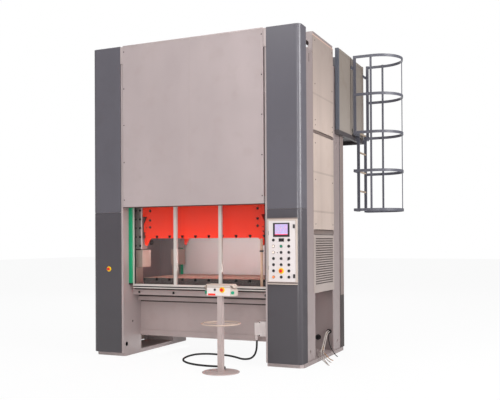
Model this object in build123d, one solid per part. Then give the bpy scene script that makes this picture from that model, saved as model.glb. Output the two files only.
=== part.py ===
from build123d import *
import math
import os

# A straight-sided hydraulic press: two uprights, a bed and a crown hold a slide, and two cylinders push it.
# Lengths are in millimetres, X to the right, Y to the back, Z up, from the middle of the foot on the floor.

# Overall sizes
press_width = 3000
press_depth = 1770
cover_top = 4135
frame_top = 4160
fit_gap = 0.3

# Uprights
clear_width = 2060
cover_stand_off = 10
post_set_back = 15
post_bay = 880
flange_reach = 70
flange_plate = 12
foot_thickness = 50
foot_set_back = 55
foot_corner = 45
post_top = 3900
head_depth = 800
head_plate = 40
head_hole_radius = 55
stiffener = 20
bay_web_inset = 220
transport_hole_radius = 25
transport_hole_depth = 60
transport_hole_height = 160
transport_hole_y = 550
slot_length = 110
front_slot_height = 3799
rear_slot_height = 2828
inner_hole_set_back = 75
cord_hole_set_back = 222
cord_hole_height = 453
anchor_hole_radius = 20
anchor_spacing_x = 2600
anchor_spacing_y = 600

# Bed and bolster
bed_bottom = 242
bed_top = 950
bed_web_step = 52
bed_rail_height = 75
bed_rail_proud = 9
bed_ledge_step = 123
bed_ledge_low = 727
bed_ledge_high = 780
bed_groove_step = 17
bed_flange_gap = 33
bed_flange_low = 812
bed_flange_high = 880
bed_table_step = 35
bolster_stop_gap = 10
bolster_set_back = 18
bolster_thickness = 90
slot_count = 8
slot_pitch = 197
slot_neck_width = 22
slot_neck_depth = 14
slot_head_width = 40
slot_head_depth = 22

# Slide
stroke = 400
shut_height = 133
slide_set_back = 315
slide_height = 877
slide_clearance = 16
slide_plate_step = 12
slide_body_step = 46
slide_plate_height = 67
slide_notch = 14
slide_flare_height = 110
slide_flare_slope = 90
ear_drop = 98
ear_width = 84
ear_thickness = 45
shoe_offset = 297
shoe_height = 560
shoe_wing = 64
shoe_wing_reach = 155

# Guides on the uprights
rail_inset = 118
rail_set_back = 285
rail_width = 135
rail_spare_low = 40
rail_spare_high = 70
rail_chamfer = 12

# Crown and cylinders
crown_bottom = 2520
crown_top = 4100
crown_set_back = 265
cylinder_spacing = 960
barrel_radius = 210
barrel_top = 3400
barrel_flange_radius = 250
barrel_flange = 30
gland_length = 170
bore_radius = 165.3
rod_radius = 130
rod_top = 3100
piston_height = 100
barrel_cap = 60
panel_rail_height = 60
panel_rail_levels = (3350, 4040)
lintel_low = 1990
lintel_depth = 55

# Sheet covers
sheet = 4
cover_bottom = 50
cover_joint = 1918
cover_joint_gap = 4
cover_inner_edge = 1058
cover_corner = 60
cover_side_length = 205
panel_sheet = 3
panel_pan = 40
panel_half_width = 1016
panel_bottom = 1978
panel_top = 4118
panel_seam = 4
side_panel_half = 412
side_opening_top = 872
side_lower_top = 1600
side_middle_low = 1672
side_middle_high = 2881
side_upper_low = 2926
side_upper_high = 4125
left_panel_low = 60
louvre_count = 20
louvre_pitch = 30
louvre_length = 690
louvre_slot = 12
louvre_lip = 6
louvre_sheet = 2
louvre_low = 979

# Stops beside the slide
stop_inset = 125
stop_set_back = 295
stop_length = 210
stop_low = 1183
stop_high = 1415
stop_edge = 4
stop_plate = 18
stop_plate_length = 175

# Guards
guide_width = 44
guide_lip = 29
guide_mouth = 35
guide_wall = 5
guide_set_back = 148
guide_low = 973
guide_spare = 70
bumper_height = 22
guard_stroke = 1020
guard_edge_gap = 46
guard_bottom = 905
guard_rail = 56
guard_top = 2090
guard_top_rail = 50
guard_stile = 20
guard_pan_edge = 35
guard_post_width = 45
guard_post_offset = 330
guard_groove = 14
guard_groove_height = 22
pane_thickness = 6
pane_bite = 10
guard_sheet = 3

# Operator panel on the right front cover
panel_box_low_x = 1073
panel_box_width = 380
panel_box_low_z = 1007
panel_box_height = 799
panel_box_depth = 20
door_thickness = 10
door_corner = 12
door_gap = 3
door_inset_x = 17
door_inset_z = 34
door_pin_radius = 2.5
door_pin_length = 50
door_pin_levels = (1180, 1600)
screen_left = 1149
screen_low = 1578
screen_width = 213
screen_height = 168
screen_proud = 4
latch_x = 1419
latch_heights = (1109, 1703)
latch_radius = 12
latch_seat = 5
latch_proud = 2
latch_bar = 12
latch_bar_length = 42
latch_bar_proud = 6
button_left = 1153
button_pitch = 99
top_row = 1540
row_pitch = 74
button_radius = 13
button_proud = 11
button_travel = 4
ring_width = 5
ring_proud = 3
button_hole_depth = 8
knob_bar = 8
knob_proud = 14
knob_sink = 2
knob_angle = 35
knob_edge = 0.5
lever_length = 50
stop_disc_radius = 33
stop_disc = 4
stop_head_radius = 20
stop_head = 16
stop_stem_radius = 10
stop_clearance = 3
stop_seat = 3
stop_travel = 5
pillar_stop_x = -1247
pillar_stop_z = 1165

# Control stand
stand_x = 688
stand_y = -1417
stand_base_radius = 220
stand_base = 12
stand_column = 60
stand_ring_radius = 225
stand_ring_tube = 9
stand_ring_height = 569
stand_collar = 40
stand_collar_wall = 4
stand_gland_side = 20
stand_gland_height = 27
stand_gland_length = 30
stand_gland_radius = 15
console_low = 897
console_height = 100
console_front = 53
console_half = 150
console_wing = 38
console_wing_back = 40
console_back = 67
console_slope = 38
hood_sheet = 5
hood_reach = 10
start_button_radius = 19
start_button_proud = 14
start_button_height = 37
console_control_height = 69
console_selector_x = -47
console_stop_x = 47
console_hole_depth = 12

# Junction box and hose
box_side_gap = 30
box_width = 210
box_low = 318
box_height = 190
box_depth = 97
box_corner = 8
connector_width = 66
connector_depth = 60
connector_set_back = 6
connector_low = 330
connector_height = 160
gland_radius = 20
gland_height = 68
hose_radius = 12.5
cable_radius = 6
cable_gland_radius = 32
cable_gland_length = 32
cable_gland_place = (1408, 297)

# Rear platform, ladder and cage
platform_gap = 4
platform_depth = 855
platform_half = 1549
platform_low = 2982
platform_height = 58
platform_plate = 6
platform_rib = 8
arm_width = 46
arm_length = 417
arm_pad_gap = 20
parapet_top = 4154
parapet_post = 46
parapet_rail = 40
parapet_sheet = 3
gate_post_offset = 225
gate_gap = 5
gate_thickness = 40
gate_low = 3060
gate_high = 4150
hinge_radius = 8
hinge_length = 60
hinge_inset = 150
hinge_leaf = 4
hinge_leaf_reach = 14
ladder_x = 1587
ladder_set_back = 240
ladder_width = 386
ladder_low = 1949
landing_level = 3090
stringer_x = 40
stringer_y = 20
rung_radius = 14
rung_pitch = 283
rung_low = 2250
rung_count = 4
exit_set_back = 261
exit_bracket_low = 3990
exit_bracket_height = 40
exit_bracket = 8
exit_width = 698
exit_low = 3040
exit_top = 4183
hoop_levels = (1969, 2530, 3080, 3622, 4163)
hoop_height = 40
hoop_thickness = 6
hoop_straight = 248
cage_bar = 25
cage_bar_thin = 8

# Power unit
tank_width = 1000
tank_depth = 450
tank_height = 600
tank_gap = 112
tank_corner = 12
motor_radius = 160
motor_height = 420
motor_x = -200
motor_foot = 20
motor_dome = 40
pump_radius = 90
pump_length = 260
pump_x = 180
pump_base_half = 40
valve_size = (300, 200, 160)

# Values worked out from the sizes above
half_width = press_width / 2
half_depth = press_depth / 2
inner_face = clear_width / 2
outer_face = half_width - cover_stand_off
post_face = half_depth - post_set_back
bay_half = post_bay / 2
rail_face = inner_face - rail_inset
bolster_top = bed_top + bolster_thickness
slide_bottom = bolster_top + shut_height + stroke
shoe_low = slide_bottom + shoe_offset
shoe_high = shoe_low + shoe_height
rail_low = shoe_low - stroke - rail_spare_low
rail_high = shoe_high + rail_spare_high
guide_high = guard_top + guard_stroke + guide_spare
stop_reach = stop_disc + stop_travel + stop_clearance
post_corner = cover_corner / 2
foot_depth = press_depth - 2 * foot_set_back
crown_depth = press_depth - 2 * crown_set_back
cover_side_end = half_depth - cover_side_length
rail_front = half_depth - rail_set_back
rail_back = rail_front - rail_width
stop_far = half_depth - stop_set_back
guide_face = half_depth - guide_set_back
guide_depth = guide_lip + guide_mouth + guide_wall
guard_half_width = inner_face - guard_edge_gap
bed_flange_depth = 2 * (guide_face - guide_depth - bed_flange_gap)
bed_table_depth = bed_flange_depth - 2 * bed_table_step
bed_ledge_depth = bed_flange_depth - 2 * bed_ledge_step
bed_groove_depth = bed_ledge_depth - 2 * bed_groove_step
bed_web_depth = bed_groove_depth - 2 * bed_web_step
bolster_width = 2 * (inner_face - stop_inset - bolster_stop_gap)
bolster_depth = bed_table_depth - 2 * bolster_set_back
box_left = inner_face - box_side_gap - box_width
slide_depth = press_depth - 2 * slide_set_back
slide_flare_half = rail_face - slide_clearance
slide_plate_half = slide_flare_half - slide_plate_step
slide_body_half = slide_flare_half - slide_body_step
panel_face = half_depth + panel_sheet
door_back = -(half_depth + panel_box_depth)
door_face = door_back - door_thickness
console_face = stand_y - console_front
console_control_z = console_low + console_control_height
platform_front = panel_face + platform_gap
platform_back = platform_front + platform_depth
platform_top = platform_low + platform_height
gate_post_back = platform_front + gate_post_offset
gate_front = gate_post_back + gate_gap
ladder_y = platform_back - ladder_set_back
exit_y = platform_back - exit_set_back
tank_front = panel_face + tank_gap


def block(x, y, z):
    """A rectangular solid between the low and high limit along each axis."""
    limits = (x, y, z)
    middle = [(low + high) / 2 for low, high in limits]
    return Pos(*middle) * Box(*[abs(high - low) for low, high in limits])


def bar(start, end, radius):
    """A round bar from one point to another."""
    line = Vector(*end) - Vector(*start)
    place = Plane(origin=start, z_dir=line)
    return place * Cylinder(radius, line.length, align=(Align.CENTER, Align.CENTER, Align.MIN))


def prism(points, axis, low, high):
    """A solid with one outline all along an axis; the points are in the plane across that axis."""
    places = {
        "X": [(low, a, b) for a, b in points],
        "Y": [(a, low, b) for a, b in points],
        "Z": [(a, b, low) for a, b in points],
    }
    along = {"X": (1, 0, 0), "Y": (0, 1, 0), "Z": (0, 0, 1)}
    outline = make_face(Polyline(*places[axis], close=True))
    return extrude(outline, amount=high - low, dir=along[axis])


def turned(points, place):
    """A solid of revolution about a vertical line; the points are radius and height."""
    outline = make_face(Polyline(*[(radius, 0, height) for radius, height in points], close=True))
    return Pos(*place, 0) * revolve(outline, Axis.Z)


def bent_sheet(line, thickness):
    """The outline of a sheet folded along a line of points, with its thickness to the left of the line."""
    steps = [Vector(*b) - Vector(*a) for a, b in zip(line, line[1:])]
    normals = [Vector(-step.Y, step.X).normalized() for step in steps]
    far_side = []
    for index, point in enumerate(line):
        before = normals[max(index - 1, 0)]
        after = normals[min(index, len(normals) - 1)]
        mitre = (before + after) * (thickness / (1 + before.dot(after)))
        far_side.append((point[0] + mitre.X, point[1] + mitre.Y))
    return list(line) + far_side[::-1]


def group(*shapes):
    """Several separate solids as one sub-part."""
    return Compound([solid for shape in shapes for solid in shape.solids()])


def left_and_right(shape):
    return group(shape, mirror(shape, Plane.YZ))


def front_and_back(shape):
    return group(shape, mirror(shape, Plane.XZ))


def at_four_corners(shape):
    return front_and_back(left_and_right(shape))


def foot_plate():
    """The plate under an upright, with its outer corners cut off and two anchor holes."""
    back = foot_depth / 2
    outline = [
        (inner_face, -back),
        (half_width - foot_corner, -back),
        (half_width, foot_corner - back),
        (half_width, back - foot_corner),
        (half_width - foot_corner, back),
        (inner_face, back),
    ]
    plate = prism(outline, "Z", 0, foot_thickness)
    for y in (-anchor_spacing_y / 2, anchor_spacing_y / 2):
        place = (anchor_spacing_x / 2, y)
        plate -= bar((*place, -1), (*place, foot_thickness + 1), anchor_hole_radius)
    return plate


def transport_openings():
    """The round holes and upright slots in the posts, for lifting and for the floor bolts' spanner."""
    inside = outer_face - transport_hole_depth
    low = transport_hole_height
    openings = [
        bar((inside, y, low), (half_width, y, low), transport_hole_radius)
        for y in (-transport_hole_y, transport_hole_y)
    ]
    for y, z in ((-transport_hole_y, front_slot_height), (transport_hole_y, rear_slot_height)):
        slot = SlotOverall(slot_length, 2 * transport_hole_radius, rotation=90)
        face = Plane(origin=(inside, y, z), x_dir=(0, 1, 0), z_dir=(1, 0, 0)) * slot
        openings.append(extrude(face, amount=half_width - inside, dir=(1, 0, 0)))
    depth = inner_face + transport_hole_depth
    for y, z, radius in (
        (inner_hole_set_back - post_face, low, transport_hole_radius),
        (cord_hole_set_back - post_face, cord_hole_height, transport_hole_radius / 3),
    ):
        openings.append(bar((inner_face - 1, y, z), (depth, y, z), radius))
    return openings


def upright():
    """One side of the frame: front and rear posts on a foot, tied by webs, with a lifting head on top."""
    inner_edge = outer_face - flange_plate
    flange_edge = bay_half - flange_reach
    outline = [
        (inner_face, -post_face),
        (outer_face - post_corner, -post_face),
        (outer_face, post_corner - post_face),
        (outer_face, -flange_edge),
        (inner_edge, -flange_edge),
        (inner_edge, -bay_half),
        (inner_face, -bay_half),
    ]
    post = prism(outline, "Z", foot_thickness, post_top)
    frame = foot_plate() + post + mirror(post, Plane.XZ)
    web_x = inner_face + bay_web_inset
    across = (-bay_half, bay_half)
    frame += block((web_x, web_x + stiffener), across, (side_opening_top, post_top))
    for level in (side_opening_top, side_lower_top, side_middle_high, post_top - stiffener):
        frame += block((web_x, inner_edge), across, (level, level + stiffener))
    head = head_depth / 2
    roof = frame_top - head_plate
    frame += block((web_x, outer_face), (-head, head), (roof, frame_top))
    for y in (-head, head - head_plate):
        cheek = block((web_x, outer_face), (y, y + head_plate), (post_top - stiffener, roof))
        x, z = outer_face - 2 * head_hole_radius, (post_top + roof) / 2
        frame += cheek - bar((x, y - 1, z), (x, y + head_plate + 1, z), head_hole_radius)
    for opening in transport_openings():
        frame -= opening
    return frame


def bed():
    """The beam under the table: a web with a foot rail, a ledge, a groove and a bolted flange."""
    web = bed_web_depth / 2
    rail = web + bed_rail_proud
    rail_top = bed_bottom + bed_rail_height
    half = [
        (-rail, bed_bottom),
        (-rail, rail_top),
        (-web, rail_top),
        (-web, bed_ledge_low),
        (-bed_ledge_depth / 2, bed_ledge_low),
        (-bed_ledge_depth / 2, bed_ledge_high),
        (-bed_groove_depth / 2, bed_ledge_high),
        (-bed_groove_depth / 2, bed_flange_low),
        (-bed_flange_depth / 2, bed_flange_low),
        (-bed_flange_depth / 2, bed_flange_high),
        (-bed_table_depth / 2, bed_flange_high),
        (-bed_table_depth / 2, bed_top),
    ]
    other_half = [(-y, z) for y, z in reversed(half)]
    return prism(half + other_half, "X", -inner_face, inner_face)


def cut_t_slots(solid, surface, inward, depth):
    """Cuts the row of T-slots that run from front to back; inward is 1 above a downward face, else -1."""
    neck = surface + inward * slot_neck_depth
    head = neck + inward * slot_head_depth
    past = surface - inward
    for index in range(slot_count):
        x = (index - (slot_count - 1) / 2) * slot_pitch
        half_neck, half_head = slot_neck_width / 2, slot_head_width / 2
        outline = [
            (x - half_neck, past),
            (x - half_neck, neck),
            (x - half_head, neck),
            (x - half_head, head),
            (x + half_head, head),
            (x + half_head, neck),
            (x + half_neck, neck),
            (x + half_neck, past),
        ]
        solid -= prism(outline, "Y", -depth / 2 - 1, depth / 2 + 1)
    return solid


def bolster():
    """The table plate, with T-slots in its top."""
    half = (bolster_width / 2, bolster_depth / 2)
    plate = block((-half[0], half[0]), (-half[1], half[1]), (bed_top, bolster_top))
    return cut_t_slots(plate, bolster_top, -1, bolster_depth)


def slide_ear():
    """A hooked ear under one corner of the slide plate, with a hollow inner edge."""
    outer = slide_plate_half
    inner = outer - ear_width
    low = slide_bottom - ear_drop
    front = -slide_depth / 2
    edge = [
        Line((inner, front, slide_bottom), (outer, front, slide_bottom)),
        Line((outer, front, slide_bottom), (outer, front, low + ear_width / 5)),
        Line((outer, front, low + ear_width / 5), (outer - ear_width / 4, front, low)),
        ThreePointArc(
            (outer - ear_width / 4, front, low),
            (outer - ear_width * 0.55, front, low + ear_drop * 0.6),
            (inner, front, slide_bottom),
        ),
    ]
    return extrude(make_face(edge), amount=ear_thickness, dir=(0, 1, 0))


def slide():
    """The moving beam: a T-slotted plate, a notch, a flare, a narrower body, and an ear at each corner."""
    plate_top = slide_bottom + slide_plate_height
    flare_low = plate_top + slide_notch
    flare_high = flare_low + slide_flare_height
    top = slide_bottom + slide_height
    half = [
        (slide_plate_half, slide_bottom),
        (slide_plate_half, plate_top),
        (slide_plate_half - slide_notch, plate_top),
        (slide_plate_half - slide_notch, flare_low),
        (slide_flare_half, flare_low),
        (slide_flare_half, flare_high),
        (slide_body_half, flare_high + slide_flare_slope),
        (slide_body_half, top),
    ]
    other_half = [(-x, z) for x, z in reversed(half)]
    beam = prism(half + other_half, "Y", -slide_depth / 2, slide_depth / 2)
    beam = cut_t_slots(beam, slide_bottom, 1, slide_depth)
    ear = slide_ear()
    for corner in (ear, mirror(ear, Plane.YZ)):
        beam += corner
        beam += mirror(corner, Plane.XZ)
    return beam


def guide_shoe():
    """A corner shoe on the slide: one face runs on the rail's edge, and its wing runs behind the rail."""
    body = slide_body_half
    wing_face = rail_back - fit_gap
    outline = [
        (body, -slide_depth / 2),
        (rail_face - fit_gap, -slide_depth / 2),
        (rail_face - fit_gap, -wing_face),
        (body + shoe_wing_reach, -wing_face),
        (body + shoe_wing_reach, shoe_wing - wing_face),
        (body, shoe_wing - wing_face),
    ]
    return prism(outline, "Z", shoe_low, shoe_high)


def slide_rail():
    """One rail on an upright's inner face, with its running corner taken off."""
    outline = [
        (inner_face, -rail_front),
        (rail_face + rail_chamfer, -rail_front),
        (rail_face, rail_chamfer - rail_front),
        (rail_face, -rail_back),
        (inner_face, -rail_back),
    ]
    return prism(outline, "Z", rail_low, rail_high)


def crown():
    """The head beam with two blind bores for the barrels, and rails and lintels that carry the panels."""
    half = crown_depth / 2
    beam = block((-inner_face, inner_face), (-half, half), (crown_bottom, crown_top))
    panel_back = panel_face - panel_pan
    for low in panel_rail_levels:
        beam += block((-inner_face, inner_face), (-panel_back, panel_back), (low, low + panel_rail_height))
    for x in (-cylinder_spacing / 2, cylinder_spacing / 2):
        beam -= bar((x, 0, crown_bottom - 1), (x, 0, barrel_top + fit_gap), barrel_radius + fit_gap)
    lintel = block(
        (-inner_face, inner_face),
        (-panel_back, lintel_depth - panel_back),
        (lintel_low, lintel_low + panel_rail_height),
    )
    return group(beam, front_and_back(lintel))


def cylinder_barrel():
    """A barrel hanging in the crown by its flange, with a closed top and a gland for the rod."""
    flange_low = crown_bottom - barrel_flange
    bore_low = flange_low + gland_length
    gland = rod_radius + fit_gap
    outline = [
        (gland, flange_low),
        (barrel_flange_radius, flange_low),
        (barrel_flange_radius, crown_bottom),
        (barrel_radius, crown_bottom),
        (barrel_radius, barrel_top),
        (0, barrel_top),
        (0, barrel_top - barrel_cap),
        (bore_radius, barrel_top - barrel_cap),
        (bore_radius, bore_low),
        (gland, bore_low),
    ]
    return turned(outline, (cylinder_spacing / 2, 0))


def piston_rod():
    """A rod standing on the slide, with its piston in the barrel."""
    piston = bore_radius - fit_gap
    outline = [
        (0, slide_bottom + slide_height),
        (rod_radius, slide_bottom + slide_height),
        (rod_radius, rod_top),
        (piston, rod_top),
        (piston, rod_top + piston_height),
        (0, rod_top + piston_height),
    ]
    return turned(outline, (cylinder_spacing / 2, 0))


def pillar_cover(low, high):
    """A cover rolled round the corner of an upright, with returns that seat on its front and side."""
    side = -cover_side_end
    line = [
        (cover_inner_edge, -post_face),
        (cover_inner_edge, -half_depth),
        (half_width, -half_depth),
        (half_width, side),
        (outer_face, side),
    ]
    cover = prism(bent_sheet(line, sheet), "Z", low, high)
    for inset in (sheet, 0):
        corner = Vector(half_width - inset, inset - half_depth, (low + high) / 2)
        edge = cover.edges().filter_by(Axis.Z).sort_by_distance(corner)[0]
        cover = fillet(edge, cover_corner - inset)
    return cover


def pillar_stop_collar():
    """The round collar for the emergency stop on the left cover, bored through the sheet."""
    disc = bar(
        (pillar_stop_x, -half_depth, pillar_stop_z),
        (pillar_stop_x, -half_depth - stop_disc, pillar_stop_z),
        stop_disc_radius,
    )
    bore = bar(
        (pillar_stop_x, sheet - half_depth + 1, pillar_stop_z),
        (pillar_stop_x, -half_depth - stop_disc - 1, pillar_stop_z),
        stop_stem_radius + fit_gap,
    )
    return disc, bore


def lower_covers():
    cover = pillar_cover(cover_bottom, cover_joint - cover_joint_gap / 2)
    disc, bore = pillar_stop_collar()
    left = mirror(cover, Plane.YZ) + disc - bore
    rear = mirror(cover, Plane.XZ)
    return group(cover, left, rear, mirror(rear, Plane.YZ))


def upper_covers():
    return at_four_corners(pillar_cover(cover_joint + cover_joint_gap / 2, cover_top))


def crown_panels():
    """Two pans side by side in front of the crown, and two behind it."""
    pan = block(
        (panel_seam / 2, panel_half_width),
        (-panel_face, panel_pan - panel_face),
        (panel_bottom, panel_top),
    )
    hollow = block(
        (panel_seam / 2 + panel_sheet, panel_half_width - panel_sheet),
        (-panel_face + panel_sheet, panel_pan - panel_face + 1),
        (panel_bottom + panel_sheet, panel_top - panel_sheet),
    )
    return at_four_corners(pan - hollow)


def side_sheet(low, high):
    return block((outer_face, outer_face + panel_sheet), (-side_panel_half, side_panel_half), (low, high))


def side_panels():
    """Flat panels over the bay in each side; the left side's bay is closed down to its foot."""
    pair = group(side_sheet(side_upper_low, side_upper_high), side_sheet(side_middle_low, side_middle_high))
    closing = mirror(side_sheet(left_panel_low, side_opening_top - panel_seam), Plane.YZ)
    return group(left_and_right(pair), closing)


def louvre_panel():
    """A side panel with pressed louvres: each slot has a lip that leans out over it."""
    panel = side_sheet(side_opening_top, side_lower_top)
    face = outer_face + panel_sheet
    across = (-louvre_length / 2, louvre_length / 2)
    for index in range(louvre_count):
        z = louvre_low + index * louvre_pitch
        panel -= block((outer_face - 1, face + 1), across, (z, z + louvre_slot))
        lip = [
            (face - louvre_sheet, z + louvre_slot),
            (face, z + louvre_slot + louvre_sheet),
            (face + louvre_lip, z + louvre_sheet),
            (face + louvre_lip, z),
        ]
        panel += prism([(x, level) for x, level in lip], "Y", *across)
    return panel


def stop_housing():
    """The housing of a slide stop on an upright's inner face, and the plate below it down to the bed."""
    inner = inner_face - stop_inset
    housing = block((inner, inner_face), (-stop_far, stop_length - stop_far), (stop_low, stop_high))
    housing = chamfer(housing.edges().filter_by(Axis.Z).group_by(Axis.X)[0], stop_edge)
    across = (-stop_far, stop_plate_length - stop_far)
    plate = block((inner_face - stop_plate, inner_face), across, (bed_top, stop_low))
    return group(housing, plate)


def guard_guide():
    """A channel on an upright's inner face, open towards the guard's edge, with a thick front lip."""
    tip = inner_face - guide_width
    mouth = (guide_lip - guide_face, guide_lip + guide_mouth - guide_face)
    solid = block((tip, inner_face), (-guide_face, guide_depth - guide_face), (guide_low, guide_high))
    return solid - block((tip - 1, inner_face - guide_wall), mouth, (guide_low - 1, guide_high + 1))


def guide_bumper():
    tip = inner_face - guide_width
    across = (-guide_face, guide_depth - guide_face)
    return block((tip, inner_face), across, (guide_low - bumper_height, guide_low))


def guard_limits():
    """The guard's thickness range, which fills the channel but for its running gap."""
    front = guide_lip - guide_face + fit_gap
    back = guide_lip + guide_mouth - guide_face - fit_gap
    return front, back


def guard_tongues():
    """The two edges of a guard that run in the channels."""
    tongue = block(
        (guard_half_width, inner_face - guide_wall - fit_gap),
        guard_limits(),
        (guide_low + fit_gap, guard_top),
    )
    return left_and_right(tongue)


def pane_spans():
    """The clear openings between the guard's stiles and posts."""
    half_post = guard_post_width / 2
    edge = guard_half_width - guard_stile
    near, far = guard_post_offset - half_post, guard_post_offset + half_post
    return [(-edge, -far), (-near, near), (far, edge)]


def pane_box(span, extra):
    """A pane that bites into the frame round its opening, with some extra all round for the groove."""
    front, back = guard_limits()
    middle = (front + back) / 2
    half = pane_thickness / 2 + extra
    bite = pane_bite + extra
    low, high = guard_bottom + guard_rail, guard_top - guard_top_rail
    return block(
        (span[0] - bite, span[1] + bite),
        (middle - half, middle + half),
        (low - bite, high + bite),
    )


def front_guard_frame():
    """The sliding frame: rails, stiles and two posts, grooved for the panes and along its bottom rail."""
    front, back = guard_limits()
    frame = block((-guard_half_width, guard_half_width), (front, back), (guard_bottom, guard_top))
    low, high = guard_bottom + guard_rail, guard_top - guard_top_rail
    for span in pane_spans():
        frame -= block(span, (front - 1, back + 1), (low, high))
        frame -= pane_box(span, fit_gap)
    groove = guard_bottom + guard_groove_height
    frame -= block(
        (-guard_half_width - 1, guard_half_width + 1),
        (front - 1, front + guard_groove),
        (groove - guard_groove / 2, groove + guard_groove / 2),
    )
    for tongue in guard_tongues().solids():
        frame += tongue
    return frame


def front_guard_panes():
    return group(*[pane_box(span, 0) for span in pane_spans()])


def rear_guard():
    """The closed guard behind the slide: a pan with the same edges as the front guard."""
    front, back = guard_limits()
    across = (-guard_half_width, guard_half_width)
    pan = block(across, (-back, -front), (guard_bottom, guard_top))
    inner = guard_half_width - guard_pan_edge
    pan -= block(
        (-inner, inner),
        (-back + guard_sheet, -front + 1),
        (guard_bottom + guard_pan_edge, guard_top - guard_pan_edge),
    )
    for tongue in mirror(guard_tongues(), Plane.XZ).solids():
        pan += tongue
    return pan


def place_on_door(column, row):
    """The X and Z of a place in the grid of controls, counted from the top left."""
    return button_left + column * button_pitch, top_row - row * row_pitch


def faces_front(x, z, start, length, radius):
    """A round solid along Y that starts at a depth and runs forward."""
    return bar((x, start, z), (x, start - length, z), radius)


def control_hole(x, z, radius):
    return bar((x, door_face + button_hole_depth, z), (x, door_face - ring_proud - 1, z), radius + fit_gap)


def door_controls():
    """The controls on the door that move: name, column, row and kind."""
    return [
        ("button_one", 0, 0, "button"),
        ("selector_one", 2, 0, "selector"),
        ("button_start", 1, 1, "button"),
        ("button_two", 2, 1, "button"),
        ("button_three", 1, 2, "button"),
        ("button_four", 2, 2, "button"),
        ("selector_two", 0, 3, "selector"),
        ("button_five", 1, 3, "button"),
        ("selector_lever", 2, 3, "lever"),
        ("selector_three", 0, 4, "selector"),
        ("selector_four", 1, 4, "selector"),
        ("selector_five", 2, 4, "selector"),
        ("button_six", 0, 5, "button"),
        ("panel_emergency_stop", 1, 5, "stop"),
        ("button_seven", 2, 5, "button"),
        ("button_eight", 1, 6, "button"),
    ]


def fixed_caps():
    """The lamps and blanks on the door that do not move, by column and row."""
    return [(0, 1), (0, 2), (0, 6), (2, 6)]


def operator_box():
    """The shallow box on the cover, and four strips on it that make a rim round the operator panel's door."""
    across = (panel_box_low_x, panel_box_low_x + panel_box_width)
    along = (panel_box_low_z, panel_box_low_z + panel_box_height)
    box = block(across, (door_back, -half_depth), along)
    left, right = across[0] + door_inset_x - door_gap, across[1] - door_inset_x + door_gap
    low, high = along[0] + door_inset_z - door_gap, along[1] - door_inset_z + door_gap
    rim = (door_face, door_back)
    upright_strips = [block((across[0], left), rim, along), block((right, across[1]), rim, along)]
    level_strips = [block((left, right), rim, (along[0], low)), block((left, right), rim, (high, along[1]))]
    return group(box, *upright_strips, *level_strips)


def operator_door():
    """The panel's door, with a ring round each control, and holes that the moving ones sit in."""
    left = panel_box_low_x + door_inset_x
    right = panel_box_low_x + panel_box_width - door_inset_x
    low = panel_box_low_z + door_inset_z
    high = panel_box_low_z + panel_box_height - door_inset_z
    back = door_back - fit_gap
    door = block((left, right), (door_face, back), (low, high))
    door = fillet(door.edges().filter_by(Axis.Y), door_corner)
    for z in door_pin_levels:
        door += bar((left, door_face, z), (left, door_face, z + door_pin_length), door_pin_radius)
    for column, row in fixed_caps():
        x, z = place_on_door(column, row)
        door += faces_front(x, z, door_face, ring_proud, button_radius + ring_width)
        door += faces_front(x, z, door_face - ring_proud, button_proud - ring_proud, button_radius)
    for name, column, row, kind in door_controls():
        x, z = place_on_door(column, row)
        if kind == "stop":
            door += faces_front(x, z, door_face, stop_disc, stop_disc_radius)
            door -= bar((x, back + 1, z), (x, door_face - stop_disc - 1, z), stop_stem_radius + fit_gap)
        else:
            door += faces_front(x, z, door_face, ring_proud, button_radius + ring_width)
            door -= control_hole(x, z, button_radius)
    for z in latch_heights:
        seat = (latch_x, door_face + latch_seat, z)
        door -= bar(seat, (latch_x, door_face - 1, z), latch_radius + fit_gap)
    return door


def push_button(x, z):
    """A round cap that sinks into its hole by its travel."""
    back = door_face + button_hole_depth - button_travel - 1
    return faces_front(x, z, back, button_proud + back - door_face, button_radius)


def turning_knob(x, z, bar_length):
    """A round base with a raised bar that leans to one side, turned to choose a setting."""
    front = door_face - ring_proud - knob_sink
    back = door_face + button_hole_depth - 1
    base = faces_front(x, z, back, back - front, button_radius)
    grip = Box(knob_bar, knob_proud, bar_length)
    grip = fillet(grip.edges().filter_by(Axis.Y), knob_bar / 2 - knob_edge)
    return base + Pos(x, front - knob_proud / 2 + knob_sink, z) * Rot(0, knob_angle, 0) * grip


def stop_button(x, face, z):
    """A mushroom head on a stem, clear of its collar by more than its travel."""
    stem = stop_reach + stop_seat
    head = [
        (0, 0),
        (stop_stem_radius, 0),
        (stop_stem_radius, stem),
        (stop_head_radius, stem),
        (stop_head_radius, stem + stop_head * 0.6),
        (stop_head_radius * 0.7, stem + stop_head),
        (0, stem + stop_head),
    ]
    return Pos(x, face + stop_seat, z) * Rot(90, 0, 0) * turned(head, (0, 0))


def panel_latch(z):
    """A round quarter-turn latch with a raised bar."""
    front = door_face - latch_proud
    barrel = bar((latch_x, door_face + latch_seat - 1, z), (latch_x, front, z), latch_radius)
    grip = block(
        (latch_x - latch_bar / 2, latch_x + latch_bar / 2),
        (front - latch_bar_proud, front),
        (z - latch_bar_length / 2, z + latch_bar_length / 2),
    )
    return barrel + grip


def operator_screen():
    """The display in its raised bezel, seated on the door."""
    bezel = block(
        (screen_left, screen_left + screen_width),
        (door_face - screen_proud, door_face),
        (screen_low, screen_low + screen_height),
    )
    return chamfer(bezel.edges().filter_by(Axis.Z).group_by(Axis.Y)[0], screen_proud / 2)


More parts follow.
